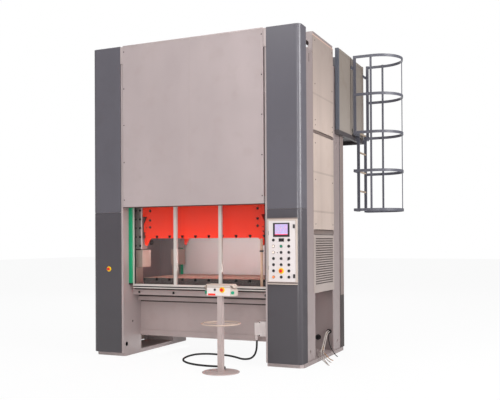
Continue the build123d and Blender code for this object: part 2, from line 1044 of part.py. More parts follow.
def control_stand():
    """The foot, the square column and the round hand ring with its two spokes, welded together."""
    foot = turned(
        [
            (0, 0),
            (stand_base_radius, 0),
            (stand_base_radius, stand_base * 0.6),
            (stand_base_radius - stand_base, stand_base),
            (0, stand_base),
        ],
        (stand_x, stand_y),
    )
    outer = stand_column / 2
    column = Pos(stand_x, stand_y, 0) * block((-outer, outer), (-outer, outer), (stand_base, console_low))
    hub = Pos(stand_x, stand_y, stand_ring_height)
    collar_width = stand_column + 2 * stand_collar_wall
    collar = hub * Box(collar_width, collar_width, stand_collar)
    ring = hub * Torus(stand_ring_radius, stand_ring_tube)
    left = (stand_x - stand_ring_radius, stand_y, stand_ring_height)
    right = (stand_x + stand_ring_radius, stand_y, stand_ring_height)
    spokes = bar(left, right, stand_ring_tube * 0.8)
    inlet = (stand_x - stand_gland_side, stand_y + outer, stand_gland_height)
    gland = bar(inlet, (inlet[0], inlet[1] + stand_gland_length, inlet[2]), stand_gland_radius)
    return foot + column + collar + ring + spokes + gland


def console_plan():
    """The console's outline from above: a flat front, two wings that lean back, and a flat back."""
    wing_x = console_half + console_wing
    wing_y = console_face + console_wing_back
    back = stand_y + console_back
    return [
        (stand_x - console_half, console_face),
        (stand_x + console_half, console_face),
        (stand_x + wing_x, wing_y),
        (stand_x + wing_x, back),
        (stand_x - wing_x, back),
        (stand_x - wing_x, wing_y),
    ]


def hood_plan():
    """The hood's outline from above, which stands out over the front and follows the wings."""
    side_x = console_half + console_wing + hood_sheet
    side_y = console_face + console_wing_back - hood_reach / 2
    back = stand_y + console_back
    front = console_face - hood_reach
    return [
        (stand_x - console_half, front),
        (stand_x + console_half, front),
        (stand_x + side_x, side_y),
        (stand_x + side_x, back),
        (stand_x - side_x, back),
        (stand_x - side_x, side_y),
    ]


def wing_plane(side):
    """The plane on a wing's middle, its normal out of the wing; side is 1 at the right, -1 at the left."""
    x = stand_x + side * (console_half + console_wing / 2)
    y = console_face + console_wing_back / 2
    out = (side * console_wing_back, -console_wing, 0)
    return Plane(origin=(x, y, console_low + start_button_height), z_dir=out)


def console():
    """The two-hand control box: a body with leaning wings under a hood folded down over its ends."""
    wing_x = console_half + console_wing
    high = console_low + console_height
    arch = [
        (stand_x + wing_x, console_low),
        (stand_x + wing_x, high - console_slope),
        (stand_x + console_half, high),
        (stand_x - console_half, high),
        (stand_x - wing_x, high - console_slope),
        (stand_x - wing_x, console_low),
    ]
    back = stand_y + console_back
    body = prism(console_plan(), "Z", console_low, high) & prism(arch, "Y", console_face - 1, back + 1)
    hood = prism(bent_sheet(arch[::-1], hood_sheet), "Y", console_face - 2 * hood_reach, back)
    body += hood & prism(hood_plan(), "Z", console_low, high + hood_sheet)
    z = console_control_z
    for x, radius in ((console_selector_x, button_radius), (console_stop_x, stop_stem_radius)):
        start = (stand_x + x, console_face + console_hole_depth, z)
        body -= bar(start, (stand_x + x, console_face - 1, z), radius + fit_gap)
    hole = Cylinder(start_button_radius + fit_gap, 2 * button_hole_depth)
    for side in (-1, 1):
        body -= wing_plane(side) * hole
    return body


def start_button(side):
    """One of the two large buttons on the wings, which have to be pressed together."""
    sunk = button_hole_depth - button_travel - 1
    length = start_button_proud + sunk
    cap = Cylinder(start_button_radius, length, align=(Align.CENTER, Align.CENTER, Align.MIN))
    return wing_plane(side) * Pos(0, 0, -sunk) * cap


def console_selector():
    """The turning selector on the console's front."""
    z = console_control_z
    x = stand_x + console_selector_x
    back = console_face + console_hole_depth - 1
    base = bar((x, back, z), (x, console_face - ring_proud, z), button_radius)
    grip = Box(knob_bar, knob_proud, 2 * button_radius - knob_bar / 2)
    return base + Pos(x, console_face - knob_proud / 2, z) * Rot(0, knob_angle, 0) * grip


def junction_box():
    """The terminal box on the bed's web, the plug connector beside it, and the hose's gland below that."""
    face = -bed_web_depth / 2
    box = block((box_left, box_left + box_width), (face - box_depth, face), (box_low, box_low + box_height))
    box = fillet(box.edges().filter_by(Axis.Y), box_corner)
    middle = face - box_depth / 2 - connector_set_back
    across = (middle - connector_depth / 2, middle + connector_depth / 2)
    connector = block(
        (box_left - connector_width, box_left),
        across,
        (connector_low, connector_low + connector_height),
    )
    connector = fillet(connector.edges().filter_by(Axis.Z).group_by(Axis.X)[0], box_corner)
    x = box_left - connector_width * 0.68
    gland = turned(
        [
            (0, connector_low),
            (gland_radius, connector_low),
            (gland_radius, connector_low - gland_height * 0.45),
            (hose_radius + 2, connector_low - gland_height),
            (0, connector_low - gland_height),
        ],
        (x, middle),
    )
    return group(box, connector + gland)


def routed_tube(points, radius):
    """A round hose along straight runs joined by arcs, each as large as its two runs allow."""
    places = [Vector(*point) for point in points]
    radii = []
    for before, corner, after in zip(places, places[1:], places[2:]):
        arriving, leaving = corner - before, after - corner
        half_turn = math.radians(arriving.get_angle(leaving)) / 2
        radii.append(0.45 * min(arriving.length, leaving.length) / math.tan(half_turn))
    path = FilletPolyline(*points, radius=radii)
    start = Plane(origin=points[0], z_dir=places[1] - places[0])
    tube = sweep(start * Circle(radius), path=path)
    expected = math.pi * radius**2 * path.length
    print("route length", round(path.length), "radii", [round(r) for r in radii],
          "volume ratio", round(tube.volume / expected, 4))
    return tube


# The hose from the box on the bed, down to the floor, round the left and back to the stand
hose_route = [
    (745, -498, 262), (745, -498, 205), (741, -502, 140), (723, -519, 72), (676, -552, 26),
    (560, -540, 13), (440, -440, 13), (290, -345, 13), (120, -300, 13), (-60, -300, 13),
    (-190, -385, 13), (-215, -545, 13), (-190, -730, 13), (-110, -910, 13), (30, -1050, 13),
    (190, -1130, 13), (350, -1155, 13), (480, -1150, 14), (590, -1172, 22), (652, -1230, 27),
    (668, -1300, 27), (668, -1357, 27),
]

# The loose cables from the gland in the right side's bay, over the foot plate and out on the floor
cable_routes = [
    [
        (1394, 408, 297), (1394, 356, 297), (1402, 268, 266), (1414, 170, 195), (1426, 60, 122),
        (1438, -60, 72), (1462, -180, 58), (1520, -285, 56.5), (1600, -375, 30), (1668, -455, 8),
        (1723, -530, 7),
    ],
    [
        (1408, 408, 311), (1408, 354, 311), (1416, 260, 284), (1430, 160, 214), (1443, 55, 144),
        (1456, -50, 96), (1486, -150, 74), (1535, -240, 60), (1594, -315, 30), (1640, -380, 9),
        (1676, -440, 7),
    ],
    [
        (1422, 408, 297), (1422, 354, 297), (1430, 260, 262), (1444, 165, 190), (1458, 70, 124),
        (1476, -20, 82), (1506, -100, 64), (1554, -170, 40), (1604, -225, 14), (1645, -275, 7),
        (1678, -322, 7),
    ],
    [
        (1394, 408, 283), (1394, 358, 283), (1400, 270, 246), (1412, 180, 172), (1430, 95, 108),
        (1462, 20, 74), (1508, -38, 60), (1556, -84, 34), (1600, -120, 10), (1650, -155, 7),
    ],
    [
        (1422, 408, 283), (1422, 376, 283), (1434, 328, 240), (1452, 288, 184), (1476, 256, 132),
        (1508, 228, 90), (1544, 204, 52), (1578, 182, 20), (1610, 160, 7),
    ],
]


def cable_gland():
    """The gland on the rear post's front face that the loose cables come out of."""
    x, z = cable_gland_place
    return bar((x, bay_half, z), (x, bay_half - cable_gland_length, z), cable_gland_radius)


def platform_floor():
    """The landing behind the press: a plate in a frame with ribs, and an arm along each upright."""
    high = platform_top
    floor = block((-platform_half, platform_half), (platform_front, platform_back), (platform_low, high))
    cells = 4
    width = (2 * (platform_half - arm_width) - (cells - 1) * platform_rib) / cells
    for index in range(cells):
        start = arm_width - platform_half + index * (width + platform_rib)
        floor -= block(
            (start, start + width),
            (platform_front + arm_width, platform_back - arm_width),
            (platform_low - 1, high - platform_plate),
        )
    start = platform_front - arm_length
    arm = block((platform_half - arm_width, platform_half), (start, platform_front), (platform_low, high))
    pad_end = cover_side_end - arm_pad_gap
    pad = block((outer_face, platform_half - arm_width), (start, pad_end), (platform_low, high))
    for solid in left_and_right(arm + pad).solids():
        floor += solid
    return floor


def parapet_wall(start, end):
    """A wall along Y at the right edge: posts and rails round a thin sheet."""
    low = platform_top
    inner, outer = platform_half - parapet_post, platform_half
    wall = block((inner, outer), (start, end), (low, parapet_top))
    pocket_y = (start + parapet_post, end - parapet_post)
    pocket_z = (low + parapet_rail, parapet_top - parapet_rail)
    wall -= block((inner - 1, outer - 2 * parapet_sheet), pocket_y, pocket_z)
    wall -= block((outer - parapet_sheet, outer + 1), pocket_y, pocket_z)
    return wall


def rear_parapet():
    """The wall along the landing's back edge, in two bays."""
    low = platform_top
    inner, outer = platform_back - parapet_post, platform_back
    wall = block((-platform_half, platform_half), (inner, outer), (low, parapet_top))
    pocket_z = (low + parapet_rail, parapet_top - parapet_rail)
    for start in (-platform_half + parapet_post, parapet_post / 2):
        pocket_x = (start, start + platform_half - 1.5 * parapet_post)
        wall -= block(pocket_x, (inner - 1, outer - 2 * parapet_sheet), pocket_z)
        wall -= block(pocket_x, (outer - parapet_sheet, outer + 1), pocket_z)
    return wall


def hinge_levels():
    """Where the gate's two hinges start."""
    return gate_low + hinge_inset, gate_high - hinge_inset - hinge_length


def gate_axis():
    """Where the gate's pins stand, just inside the rear corner post."""
    return platform_half - parapet_post - hinge_radius - 1, platform_back - parapet_post - gate_gap / 2


def parapets():
    """The fixed walls of the landing, with the lower half of each gate hinge."""
    start = platform_front - arm_length
    right = parapet_wall(start, gate_post_back)
    left = mirror(parapet_wall(start, platform_back - parapet_post), Plane.YZ)
    rear = rear_parapet()
    x, y = gate_axis()
    for low in hinge_levels():
        half = low + hinge_length / 2
        rear += bar((x, y, low), (x, y, half), hinge_radius)
        rear += block((x, platform_half - parapet_post), (y, y + 2 * hinge_radius), (low, half))
    return group(right, left, rear)


def platform_gate():
    """The gate in the landing's right side, swinging inward on two hinges."""
    inner = platform_half - parapet_post + 2
    back = platform_back - parapet_post - gate_gap
    gate = block((inner, inner + gate_thickness), (gate_front, back), (gate_low, gate_high))
    pocket_y = (gate_front + parapet_rail, back - parapet_rail)
    pocket_z = (gate_low + parapet_rail, gate_high - parapet_rail)
    gate -= block((inner - 1, inner + gate_thickness - 2 * parapet_sheet), pocket_y, pocket_z)
    gate -= block((inner + gate_thickness - parapet_sheet, inner + gate_thickness + 1), pocket_y, pocket_z)
    x, y = gate_axis()
    for low in hinge_levels():
        middle = low + hinge_length / 2 + fit_gap
        gate += bar((x, y, middle), (x, y, low + hinge_length), hinge_radius)
        leaf = (y - hinge_radius - hinge_leaf_reach, y - hinge_leaf)
        gate += block((x, inner + hinge_leaf), leaf, (middle, low + hinge_length))
    return gate


def stringer(y, low, high):
    half_x, half_y = stringer_x / 2, stringer_y / 2
    return block((ladder_x - half_x, ladder_x + half_x), (y - half_y, y + half_y), (low, high))


def ladder():
    """The hanging ladder: close stringers with rungs below the landing, wide ones to step through above."""
    below = (ladder_y - ladder_width / 2, ladder_y + ladder_width / 2)
    above = (exit_y - exit_width / 2, exit_y + exit_width / 2)
    top_rung = rung_low + (rung_count - 1) * rung_pitch + rung_radius
    frame = stringer(below[0], ladder_low, top_rung) + stringer(below[1], ladder_low, top_rung)
    frame += stringer(above[0], exit_low, exit_top) + stringer(above[1], exit_low, exit_top)
    half_x = stringer_x / 2
    for near, far in ((above[0], below[0]), (below[1], above[1])):
        frame += block((ladder_x - half_x, ladder_x + half_x), (near, far), (exit_low, landing_level))
    for index in range(rung_count):
        z = rung_low + index * rung_pitch
        frame += bar((ladder_x, below[0], z), (ladder_x, below[1], z), rung_radius)
    half_y = stringer_y / 2
    for y in below:
        frame += block((platform_half, ladder_x), (y - half_y, y + half_y), (platform_low, platform_top))
    brackets = ((gate_post_back - parapet_post, above[0]), (platform_back - parapet_post, above[1]))
    levels = (exit_bracket_low, exit_bracket_low + exit_bracket_height)
    for near, far in brackets:
        frame += block((platform_half, platform_half + exit_bracket), (near, far + half_y), levels)
        frame += block((platform_half, ladder_x), (far - half_y, far + half_y), levels)
    return frame


def hoop(level, closed_in):
    """One flat hoop of the cage; a lower one turns in at its ends to reach the close stringers."""
    start = ladder_x - stringer_x / 2
    straight_end = ladder_x + hoop_straight
    radius = exit_width / 2 + stringer_y / 2 + hoop_thickness
    outer_face_path = [
        Line((start, exit_y - radius), (straight_end, exit_y - radius)),
        ThreePointArc(
            (straight_end, exit_y - radius),
            (straight_end + radius, exit_y),
            (straight_end, exit_y + radius),
        ),
        Line((straight_end, exit_y + radius), (start, exit_y + radius)),
        Line((start, exit_y + radius), (start, exit_y + radius - hoop_thickness)),
        Line((start, exit_y + radius - hoop_thickness), (straight_end, exit_y + radius - hoop_thickness)),
        ThreePointArc(
            (straight_end, exit_y + radius - hoop_thickness),
            (straight_end + radius - hoop_thickness, exit_y),
            (straight_end, exit_y - radius + hoop_thickness),
        ),
        Line((straight_end, exit_y - radius + hoop_thickness), (start, exit_y - radius + hoop_thickness)),
        Line((start, exit_y - radius + hoop_thickness), (start, exit_y - radius)),
    ]
    low = level - hoop_height / 2
    band = Pos(0, 0, low) * extrude(make_face(outer_face_path), amount=hoop_height, dir=(0, 0, 1))
    if closed_in:
        near = (exit_y - radius, ladder_y - ladder_width / 2 - stringer_y / 2)
        far = (ladder_y + ladder_width / 2 + stringer_y / 2, exit_y + radius)
        for across in (near, far):
            band += block((start, start + hoop_thickness), across, (low, low + hoop_height))
    return band


def cage():
    """The safety cage: five hoops with three upright bars inside them."""
    inner = exit_width / 2 + stringer_y / 2
    straight_end = ladder_x + hoop_straight
    low = hoop_levels[0] - hoop_height / 2
    high = hoop_levels[-1] + hoop_height / 2
    bars = block(
        (straight_end + inner - cage_bar_thin, straight_end + inner),
        (exit_y - cage_bar / 2, exit_y + cage_bar / 2),
        (low, high),
    )
    for side in (-1, 1):
        face = exit_y + side * inner
        bars += block(
            (straight_end - cage_bar, straight_end),
            tuple(sorted((face, face - side * cage_bar))),
            (low, high),
        )
    for level in hoop_levels:
        bars += hoop(level, level < landing_level - hoop_height)
    return bars


def oil_tank():
    """The oil tank on the landing, with its upright corners folded."""
    low = platform_top
    across = (-tank_width / 2, tank_width / 2)
    along = (tank_front, tank_front + tank_depth)
    tank = block(across, along, (low, low + tank_height))
    return chamfer(tank.edges().filter_by(Axis.Z), tank_corner)


def pump_motor():
    """The upright motor on the tank's lid, with the pump beside it on the same base."""
    low = platform_top + tank_height
    base_top = low + motor_foot
    middle = tank_front + tank_depth / 2
    motor = turned(
        [
            (0, low),
            (motor_radius * 1.1, low),
            (motor_radius * 1.1, base_top),
            (motor_radius, base_top),
            (motor_radius, low + motor_height - motor_dome),
            (motor_radius * 0.85, low + motor_height),
            (0, low + motor_height),
        ],
        (motor_x, middle),
    )
    pump = bar((pump_x, middle, low), (pump_x, middle, low + pump_length), pump_radius)
    base = block((motor_x, pump_x), (middle - pump_base_half, middle + pump_base_half), (low, base_top))
    return motor + base + pump


def valve_block():
    """The valve manifold on top of the crown."""
    half_x, half_y = valve_size[0] / 2, valve_size[1] / 2
    return block((-half_x, half_x), (-half_y, half_y), (crown_top, crown_top + valve_size[2]))


right_upright = upright()
sub_parts = {
    "upright_right": right_upright + cable_gland(),
    "upright_left": mirror(right_upright, Plane.YZ),
    "bed": bed(),
    "bolster_plate": bolster(),
    "crown": crown(),
    "cylinder_barrels": left_and_right(cylinder_barrel()),
    "piston_rods": left_and_right(piston_rod()),
    "slide": slide(),
    "guide_shoes": at_four_corners(guide_shoe()),
    "slide_rails": at_four_corners(slide_rail()),
    "stop_housings": at_four_corners(stop_housing()),
    "pillar_covers_lower": lower_covers(),
    "pillar_covers_upper": upper_covers(),
    "crown_panels": crown_panels(),
    "side_panels": side_panels(),
    "louvre_panels": left_and_right(louvre_panel()),
    "guard_guides": at_four_corners(guard_guide()),
    "guide_bumpers": at_four_corners(guide_bumper()),
    "front_guard_frame": front_guard_frame(),
    "front_guard_panes": front_guard_panes(),
    "rear_guard": rear_guard(),
    "operator_box": operator_box(),
    "operator_door": operator_door(),
    "operator_screen": operator_screen(),
    "latch_lower": panel_latch(latch_heights[0]),
    "latch_upper": panel_latch(latch_heights[1]),
    "control_stand": control_stand(),
    "console": console(),
    "start_button_left": start_button(-1),
    "start_button_right": start_button(1),
    "console_selector": console_selector(),
    "console_emergency_stop": stop_button(stand_x + console_stop_x, console_face, console_control_z),
    "pillar_emergency_stop": stop_button(pillar_stop_x, -half_depth, pillar_stop_z),
    "junction_box": junction_box(),
    "foot_hose": routed_tube(hose_route, hose_radius),
    "loose_cables": group(*[routed_tube(route, cable_radius) for route in cable_routes]),
    "platform_floor": platform_floor(),
    "platform_parapets": parapets(),
    "platform_gate": platform_gate(),
    "ladder": ladder(),
    "safety_cage": cage(),
    "oil_tank": oil_tank(),
    "pump_motor": pump_motor(),
    "valve_block": valve_block(),
}
for name, column, row, kind in door_controls():
    x, z = place_on_door(column, row)
    if kind == "button":
        sub_parts[name] = push_button(x, z)
    elif kind == "stop":
        sub_parts[name] = stop_button(x, door_face, z)
    elif kind == "lever":
        sub_parts[name] = turning_knob(x, z, lever_length)
    else:
        sub_parts[name] = turning_knob(x, z, 2 * button_radius - knob_bar / 2)

os.makedirs("parts", exist_ok=True)
for name, solid in sub_parts.items():
    export_step(solid, f"parts/{name}.step")
print(len(sub_parts), "sub-parts written")
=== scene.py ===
# %% [markdown]
# # A straight-sided hydraulic press
# The frame, the slide, the guards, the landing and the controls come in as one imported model, and stay where they
# are. This notebook gives them their finishes, adds the fasteners, caps, lamps and cords, and sets up the camera
# and the lights.

# %% Load the press
import math

import bpy
from mathutils import Matrix, Vector


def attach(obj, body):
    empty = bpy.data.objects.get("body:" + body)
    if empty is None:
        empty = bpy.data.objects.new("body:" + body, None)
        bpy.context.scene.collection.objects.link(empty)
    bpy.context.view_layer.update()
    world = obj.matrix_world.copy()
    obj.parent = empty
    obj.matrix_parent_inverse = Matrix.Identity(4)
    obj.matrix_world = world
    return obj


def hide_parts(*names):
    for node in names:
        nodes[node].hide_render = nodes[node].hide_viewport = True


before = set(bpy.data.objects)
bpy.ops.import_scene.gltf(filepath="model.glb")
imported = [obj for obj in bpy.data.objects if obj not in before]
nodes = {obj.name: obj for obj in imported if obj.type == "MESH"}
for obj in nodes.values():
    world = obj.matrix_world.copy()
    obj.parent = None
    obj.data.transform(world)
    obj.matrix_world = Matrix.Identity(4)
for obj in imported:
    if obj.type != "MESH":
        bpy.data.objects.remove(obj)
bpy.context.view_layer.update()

# %% [markdown]
# ## The camera
# The photograph was taken from the right, a little below the middle of the press, with a lens of about 53 mm.
# Upright lines stay upright in it. A camera that is tilted up would make them meet, so this one looks level and its
# frame is shifted up instead. The place and the angles were worked out from the press's own straight edges.

# %% Set up the camera
picture_width = 500
focal_length_pixels, rise_pixels = 732.1, 33.7
film_width = 36
camera_place = Vector((4.5111, -9.0821, 1.5401))
yaw, pitch, roll = math.radians(24.18), math.radians(0.51), math.radians(-0.32)
ahead = Vector((-math.sin(yaw) * math.cos(pitch), math.cos(yaw) * math.cos(pitch), math.sin(pitch)))
level_right = Vector((math.cos(yaw), math.sin(yaw), 0))
level_up = level_right.cross(ahead)
right = level_right * math.cos(roll) + level_up * math.sin(roll)
up = level_up * math.cos(roll) - level_right * math.sin(roll)

camera_data = bpy.data.cameras.new("camera")
camera_data.sensor_width = film_width
camera_data.lens = focal_length_pixels / picture_width * film_width
camera_data.shift_y = rise_pixels / picture_width
camera_data.clip_end = 200
camera = bpy.data.objects.new("camera", camera_data)
camera.matrix_world = Matrix.Translation(camera_place) @ Matrix((right, up, -ahead)).transposed().to_4x4()
bpy.context.scene.collection.objects.link(camera)
bpy.context.scene.camera = camera
bpy.context.scene.view_settings.view_transform = "Standard"
print("lens", round(camera_data.lens, 1), "mm, camera at", [round(v, 2) for v in camera_place])

# %% [markdown]
# ## Shader maths as Python
# A finish is a small program of nodes. It could be wired by hand in the shader editor, but as expressions it reads
# like sums: two values that are added or multiplied in Python add a Math node to the material, and every other node
# comes from one method, which takes the node's type, its settings and what goes into its sockets.

# %% Values and finishes
class Value:
    """A socket that can be used in a Python expression; each operation adds a Math node."""

    def __init__(self, finish, socket):
        self.finish = finish
        self.socket = socket

    def maths(self, operation, first, second):
        return self.finish.node("ShaderNodeMath", {"operation": operation}, {0: first, 1: second})

    def __add__(self, other):
        return self.maths("ADD", self, other)

    def __radd__(self, other):
        return self.maths("ADD", other, self)

    def __sub__(self, other):
        return self.maths("SUBTRACT", self, other)

    def __rsub__(self, other):
        return self.maths("SUBTRACT", other, self)

    def __mul__(self, other):
        return self.maths("MULTIPLY", self, other)

    def __rmul__(self, other):
        return self.maths("MULTIPLY", other, self)

    def __gt__(self, other):
        return self.maths("GREATER_THAN", self, other)

    def __lt__(self, other):
        return self.maths("LESS_THAN", self, other)

    def __abs__(self):
        return self.finish.node("ShaderNodeMath", {"operation": "ABSOLUTE"}, {0: self})

    def to_and_fro(self, reach):
        """Goes from 0 up to the reach and back to 0, over and over."""
        return self.maths("PINGPONG", self, reach)


class Finish:
    """A material, or a world where its collection is given, and the nodes that make it."""

    def __init__(self, name, collection=None):
        self.owner = (bpy.data.materials if collection is None else collection).new(name)
        self.owner.use_nodes = True
        self.tree = self.owner.node_tree
        self.tree.nodes.clear()

    def node(self, kind, settings=None, sockets=None, out=0):
        """Adds a node; the settings come first, then the values or links of its sockets."""
        made = self.tree.nodes.new(kind)
        for name, value in (settings or {}).items():
            setattr(made, name, value)
        for name, value in (sockets or {}).items():
            if isinstance(value, Value):
                self.tree.links.new(value.socket, made.inputs[name])
            else:
                made.inputs[name].default_value = value
        return Value(self, made.outputs[out]) if made.outputs else None

    def where(self):
        """The place on the press, in metres; every piece's own origin is the press's."""
        return self.node("ShaderNodeTexCoord", out="Object")

    def axes(self):
        """The place's x, y and z, each as a value."""
        parts = self.node("ShaderNodeSeparateXYZ", None, {0: self.where()})
        return [Value(self, socket) for socket in parts.socket.node.outputs]

    def stretched(self, scale):
        """The place with each axis scaled, so that a noise gets short along one axis and long along another."""
        return self.node("ShaderNodeMapping", None, {"Vector": self.where(), "Scale": scale})

    def noise(self, scale, detail, place=None):
        sockets = {"Vector": place or self.where(), "Scale": scale, "Detail": detail}
        return self.node("ShaderNodeTexNoise", None, sockets)

    def ramp(self, value, low, high):
        """Turns the part of a value between low and high into 0 to 1."""
        return self.node("ShaderNodeMapRange", None, {"Value": value, "From Min": low, "From Max": high})

    def mix(self, share, first, second):
        """A colour between two colours."""
        made = self.node("ShaderNodeMix", {"data_type": "RGBA"}, {"Factor": share}, out=2)
        for place, colour in ((6, first), (7, second)):
            socket = made.socket.node.inputs[place]
            if isinstance(colour, Value):
                self.tree.links.new(colour.socket, socket)
            else:
                socket.default_value = colour
        return made

    def bump(self, height, strength, distance):
        return self.node("ShaderNodeBump", None, {"Height": height, "Strength": strength, "Distance": distance})

    def rays(self, *kinds):
        """1 for rays of these kinds, such as Is Camera Ray, else 0."""
        path = self.node("ShaderNodeLightPath").socket.node
        found = sum(Value(self, path.outputs[kind]) for kind in kinds)
        return self.node("ShaderNodeClamp", None, {"Value": found})

    def surface(self, **sockets):
        """Ends the material in one shader with these sockets."""
        named = {name.replace("_", " "): value for name, value in sockets.items()}
        shader = self.node("ShaderNodeBsdfPrincipled", None, named)
        self.node("ShaderNodeOutputMaterial", None, {"Surface": shader})
        return self.owner


def shade(red, green, blue):
    """A colour as a screen shows it, 0 to 255, in the linear values that a shader takes."""
    def linear(value):
        value = value / 255
        return value / 12.92 if value <= 0.04045 else ((value + 0.055) / 1.055) ** 2.4
    return (linear(red), linear(green), linear(blue), 1.0)


def tinted(colour, share, tint=(1.0, 1.0, 1.0)):
    """A colour made darker or lighter by a share, and warmer or colder by a tint."""
    return tuple(min(1.0, value * share * part) for value, part in zip(colour, tint)) + (1.0,)


print("a mid grey of 128 is", round(shade(128, 128, 128)[0], 3), "in a shader")

# %% [markdown]
# ## Sprayed paint
# The press is sprayed with a satin machine paint. Up close such paint has a fine orange-peel skin, its tone drifts
# a little over a large sheet, and hands and oil leave faint smears. A picture of paint would repeat, so noises of
# very different sizes do that. They read the place on the press, and a pattern runs on from one sheet to the next.

# %% A helper for painted finishes
def paint(name, colour, roughness=0.42, drift=0.06, smears=0.10, marks=None, coat=0.0, matt=None):
    """Marks recolours the finish at known places, and matt says where it has less coat and is duller."""
    finish = Finish(name)
    broad = finish.noise(0.9, 3.0)
    tall = finish.noise(2.2, 4.0, finish.stretched((1.0, 1.0, 0.25)))
    fine = finish.noise(260.0, 1.0)
    smear = finish.ramp(finish.noise(5.0, 6.0), 0.52, 0.75)
    tone = finish.ramp(broad * 0.6 + tall * 0.4, 0.3, 0.7)
    sprayed = finish.mix(tone, tinted(colour, 1 - 2 * drift), tinted(colour, 1 + drift))
    base = finish.mix(smear * 0.5, sprayed, tinted(colour, 1 - smears, (1.0, 0.97, 0.94)))
    flat = matt(finish) if matt else 0.0
    return finish.surface(
        Base_Color=marks(finish, base) if marks else base,
        Roughness=smear * 0.10 - tone * 0.04 + (roughness + flat * 0.3),
        Coat_Weight=(1 - flat) * coat,
        Coat_Roughness=0.22,
        Normal=finish.bump(fine, 0.10, 0.0004),
    )


# %% [markdown]
# ## Marks that follow a place
# Some pieces have two tones with a sharp edge between them, such as the black painted shade inside a slot in a red
# slide. They could have a second material on some faces, but a tone may end in the middle of a face. The edge lies at
# a known place on the press, so a comparison of the place with a number, in metres, makes a mask of 1 and 0.

# %% Helpers for marks
# Black for the gland, and painted shade for the insides of the slots and holes.
black_and_painted_shade = shade(22, 18, 17)


def between(value, low, high):
    """1 where a value lies between two limits, else 0."""
    return (value > low) * (value < high)


def in_circle(first, second, middle, radius):
    """1 nearer than a radius to a middle, measured along two axes, else 0."""
    across, up = first - middle[0], second - middle[1]
    return across * across + up * up < radius * radius


# %% [markdown]
# ## T-slots
# Dies are bolted to the slide and the table by T-slots, which run from front to back at an even pitch, and whose
# walls are painted black as painted shade. A ping-pong of x goes up and down once in each pitch, so one comparison
# finds all the slots, where one for each slot would take eight. A slot's head is wider than its neck.

# %% Blacken the T-slots
slot_pitch = 0.197
neck_half_width, head_step = 0.0113, 0.009
slide_slot = {"low": 1.5735, "step": 1.587, "high": 1.6093}
table_slot = {"low": 1.0038, "step": 1.026, "high": 1.0385}


def slot_ends(finish, base, low, step, high, head_on_top):
    """Paints the slots' walls black between two heights, as painted shade; the step divides the neck from the head.
    """
    x, y, z = finish.axes()
    off_middle = slot_pitch / 2 - x.to_and_fro(slot_pitch / 2)
    in_head = z > step if head_on_top else z < step
    half_width = neck_half_width + in_head * head_step
    return finish.mix(between(z, low, high) * (half_width > off_middle), base, black_and_painted_shade)


def slide_marks(finish, base):
    return slot_ends(finish, base, **slide_slot, head_on_top=True)


def table_marks(finish, base):
    """The table's front, darker as oiled steel and as painted shade, its brighter top, and the black slots in painted
    shade.
    """
    x, y, z = finish.axes()
    oiled_and_shaded = finish.mix(finish.noise(14.0, 4.0), shade(60, 51, 49), shade(84, 75, 72))
    coloured = finish.mix(z > table_slot["high"], oiled_and_shaded, base)
    return slot_ends(finish, coloured, **table_slot, head_on_top=False)


# %% [markdown]
# ## Second tones at the front
# The guard's bottom rail has a painted line of shadow where its front sheet is hooked in. The controls on the door
# stand in dark bezel rings, the operator box has a folded beige rim with painted shade along its top lip and a
# painted shadow line along its foot, and the console is beige round its white front.

# %% Guard, operator panel and console
guard_front, guard_hook = -0.68, (0.9195, 0.9345)
door_face = -0.9153
box_lip, box_foot_shadow = 1.79, (1.018, 1.034)
console_front, console_front_top = (0.540, 0.836), 0.990


def guard_marks(finish, base):
    x, y, z = finish.axes()
    return finish.mix(between(z, *guard_hook) * (y < guard_front), base, shade(48, 42, 42))


def door_marks(finish, base):
    """All that stands proud of the door's white face is a dark ring."""
    x, y, z = finish.axes()
    return finish.mix(y < door_face, base, shade(66, 60, 62))


def box_marks(finish, base):
    """The rim is painted darker along its folded lip at the top, as painted shade, and along the foot, as a painted
    shadow line.
    """
    x, y, z = finish.axes()
    lip_shaded = finish.mix(z > box_lip, base, shade(142, 126, 120))
    return finish.mix(between(z, *box_foot_shadow), lip_shaded, shade(96, 84, 82))


def console_marks(finish, base):
    x, y, z = finish.axes()
    front = between(x, *console_front) * (z < console_front_top)
    return finish.mix(front, shade(204, 190, 180), base)


# %% [markdown]
# ## Wear and light on the landing
# The landing's walls pale towards the floor, their top edge is warm, and their first posts have the ladder's colour.
# Boots have worn the rungs to a light tan. A ramp of z gives a slow change, where a comparison gives an edge.

# %% Landing walls and ladder
first_posts, wall_edge = (0.40, 0.5215), 4.152
wall_high, wall_low = 3.7, 3.1
rung_reach, rungs_below = (1.327, 1.687), 3.2


def parapet_marks(finish, base):
    x, y, z = finish.axes()
    pale = finish.mix(finish.ramp(z, wall_high, wall_low) * 0.5, base, shade(166, 156, 148))
    posts = finish.mix(between(y, *first_posts), pale, shade(82, 86, 96))
    return finish.mix(z > wall_edge, posts, shade(120, 100, 88))


def ladder_marks(finish, base):
    x, y, z = finish.axes()
    worn = finish.mix(finish.noise(30.0, 4.0), shade(196, 172, 146), shade(150, 132, 118))
    return finish.mix(between(y, *rung_reach) * (z < rungs_below), base, worn)


# %% [markdown]
# ## Louvres, corner covers and side panels
# The slots under the louvres' lips are painted dark, as painted shade. The corner covers are polished at their
# corners and dull on their flat sides, and the lower ones are painted darker towards the floor, as painted shade.
# Soft level bands of painted shade lie across the side panels, and upright streaks of painted reflection run down
# them, which are a noise that is stretched along z; their upper half is painted darker as painted shade, and their
# top edge has a painted highlight.

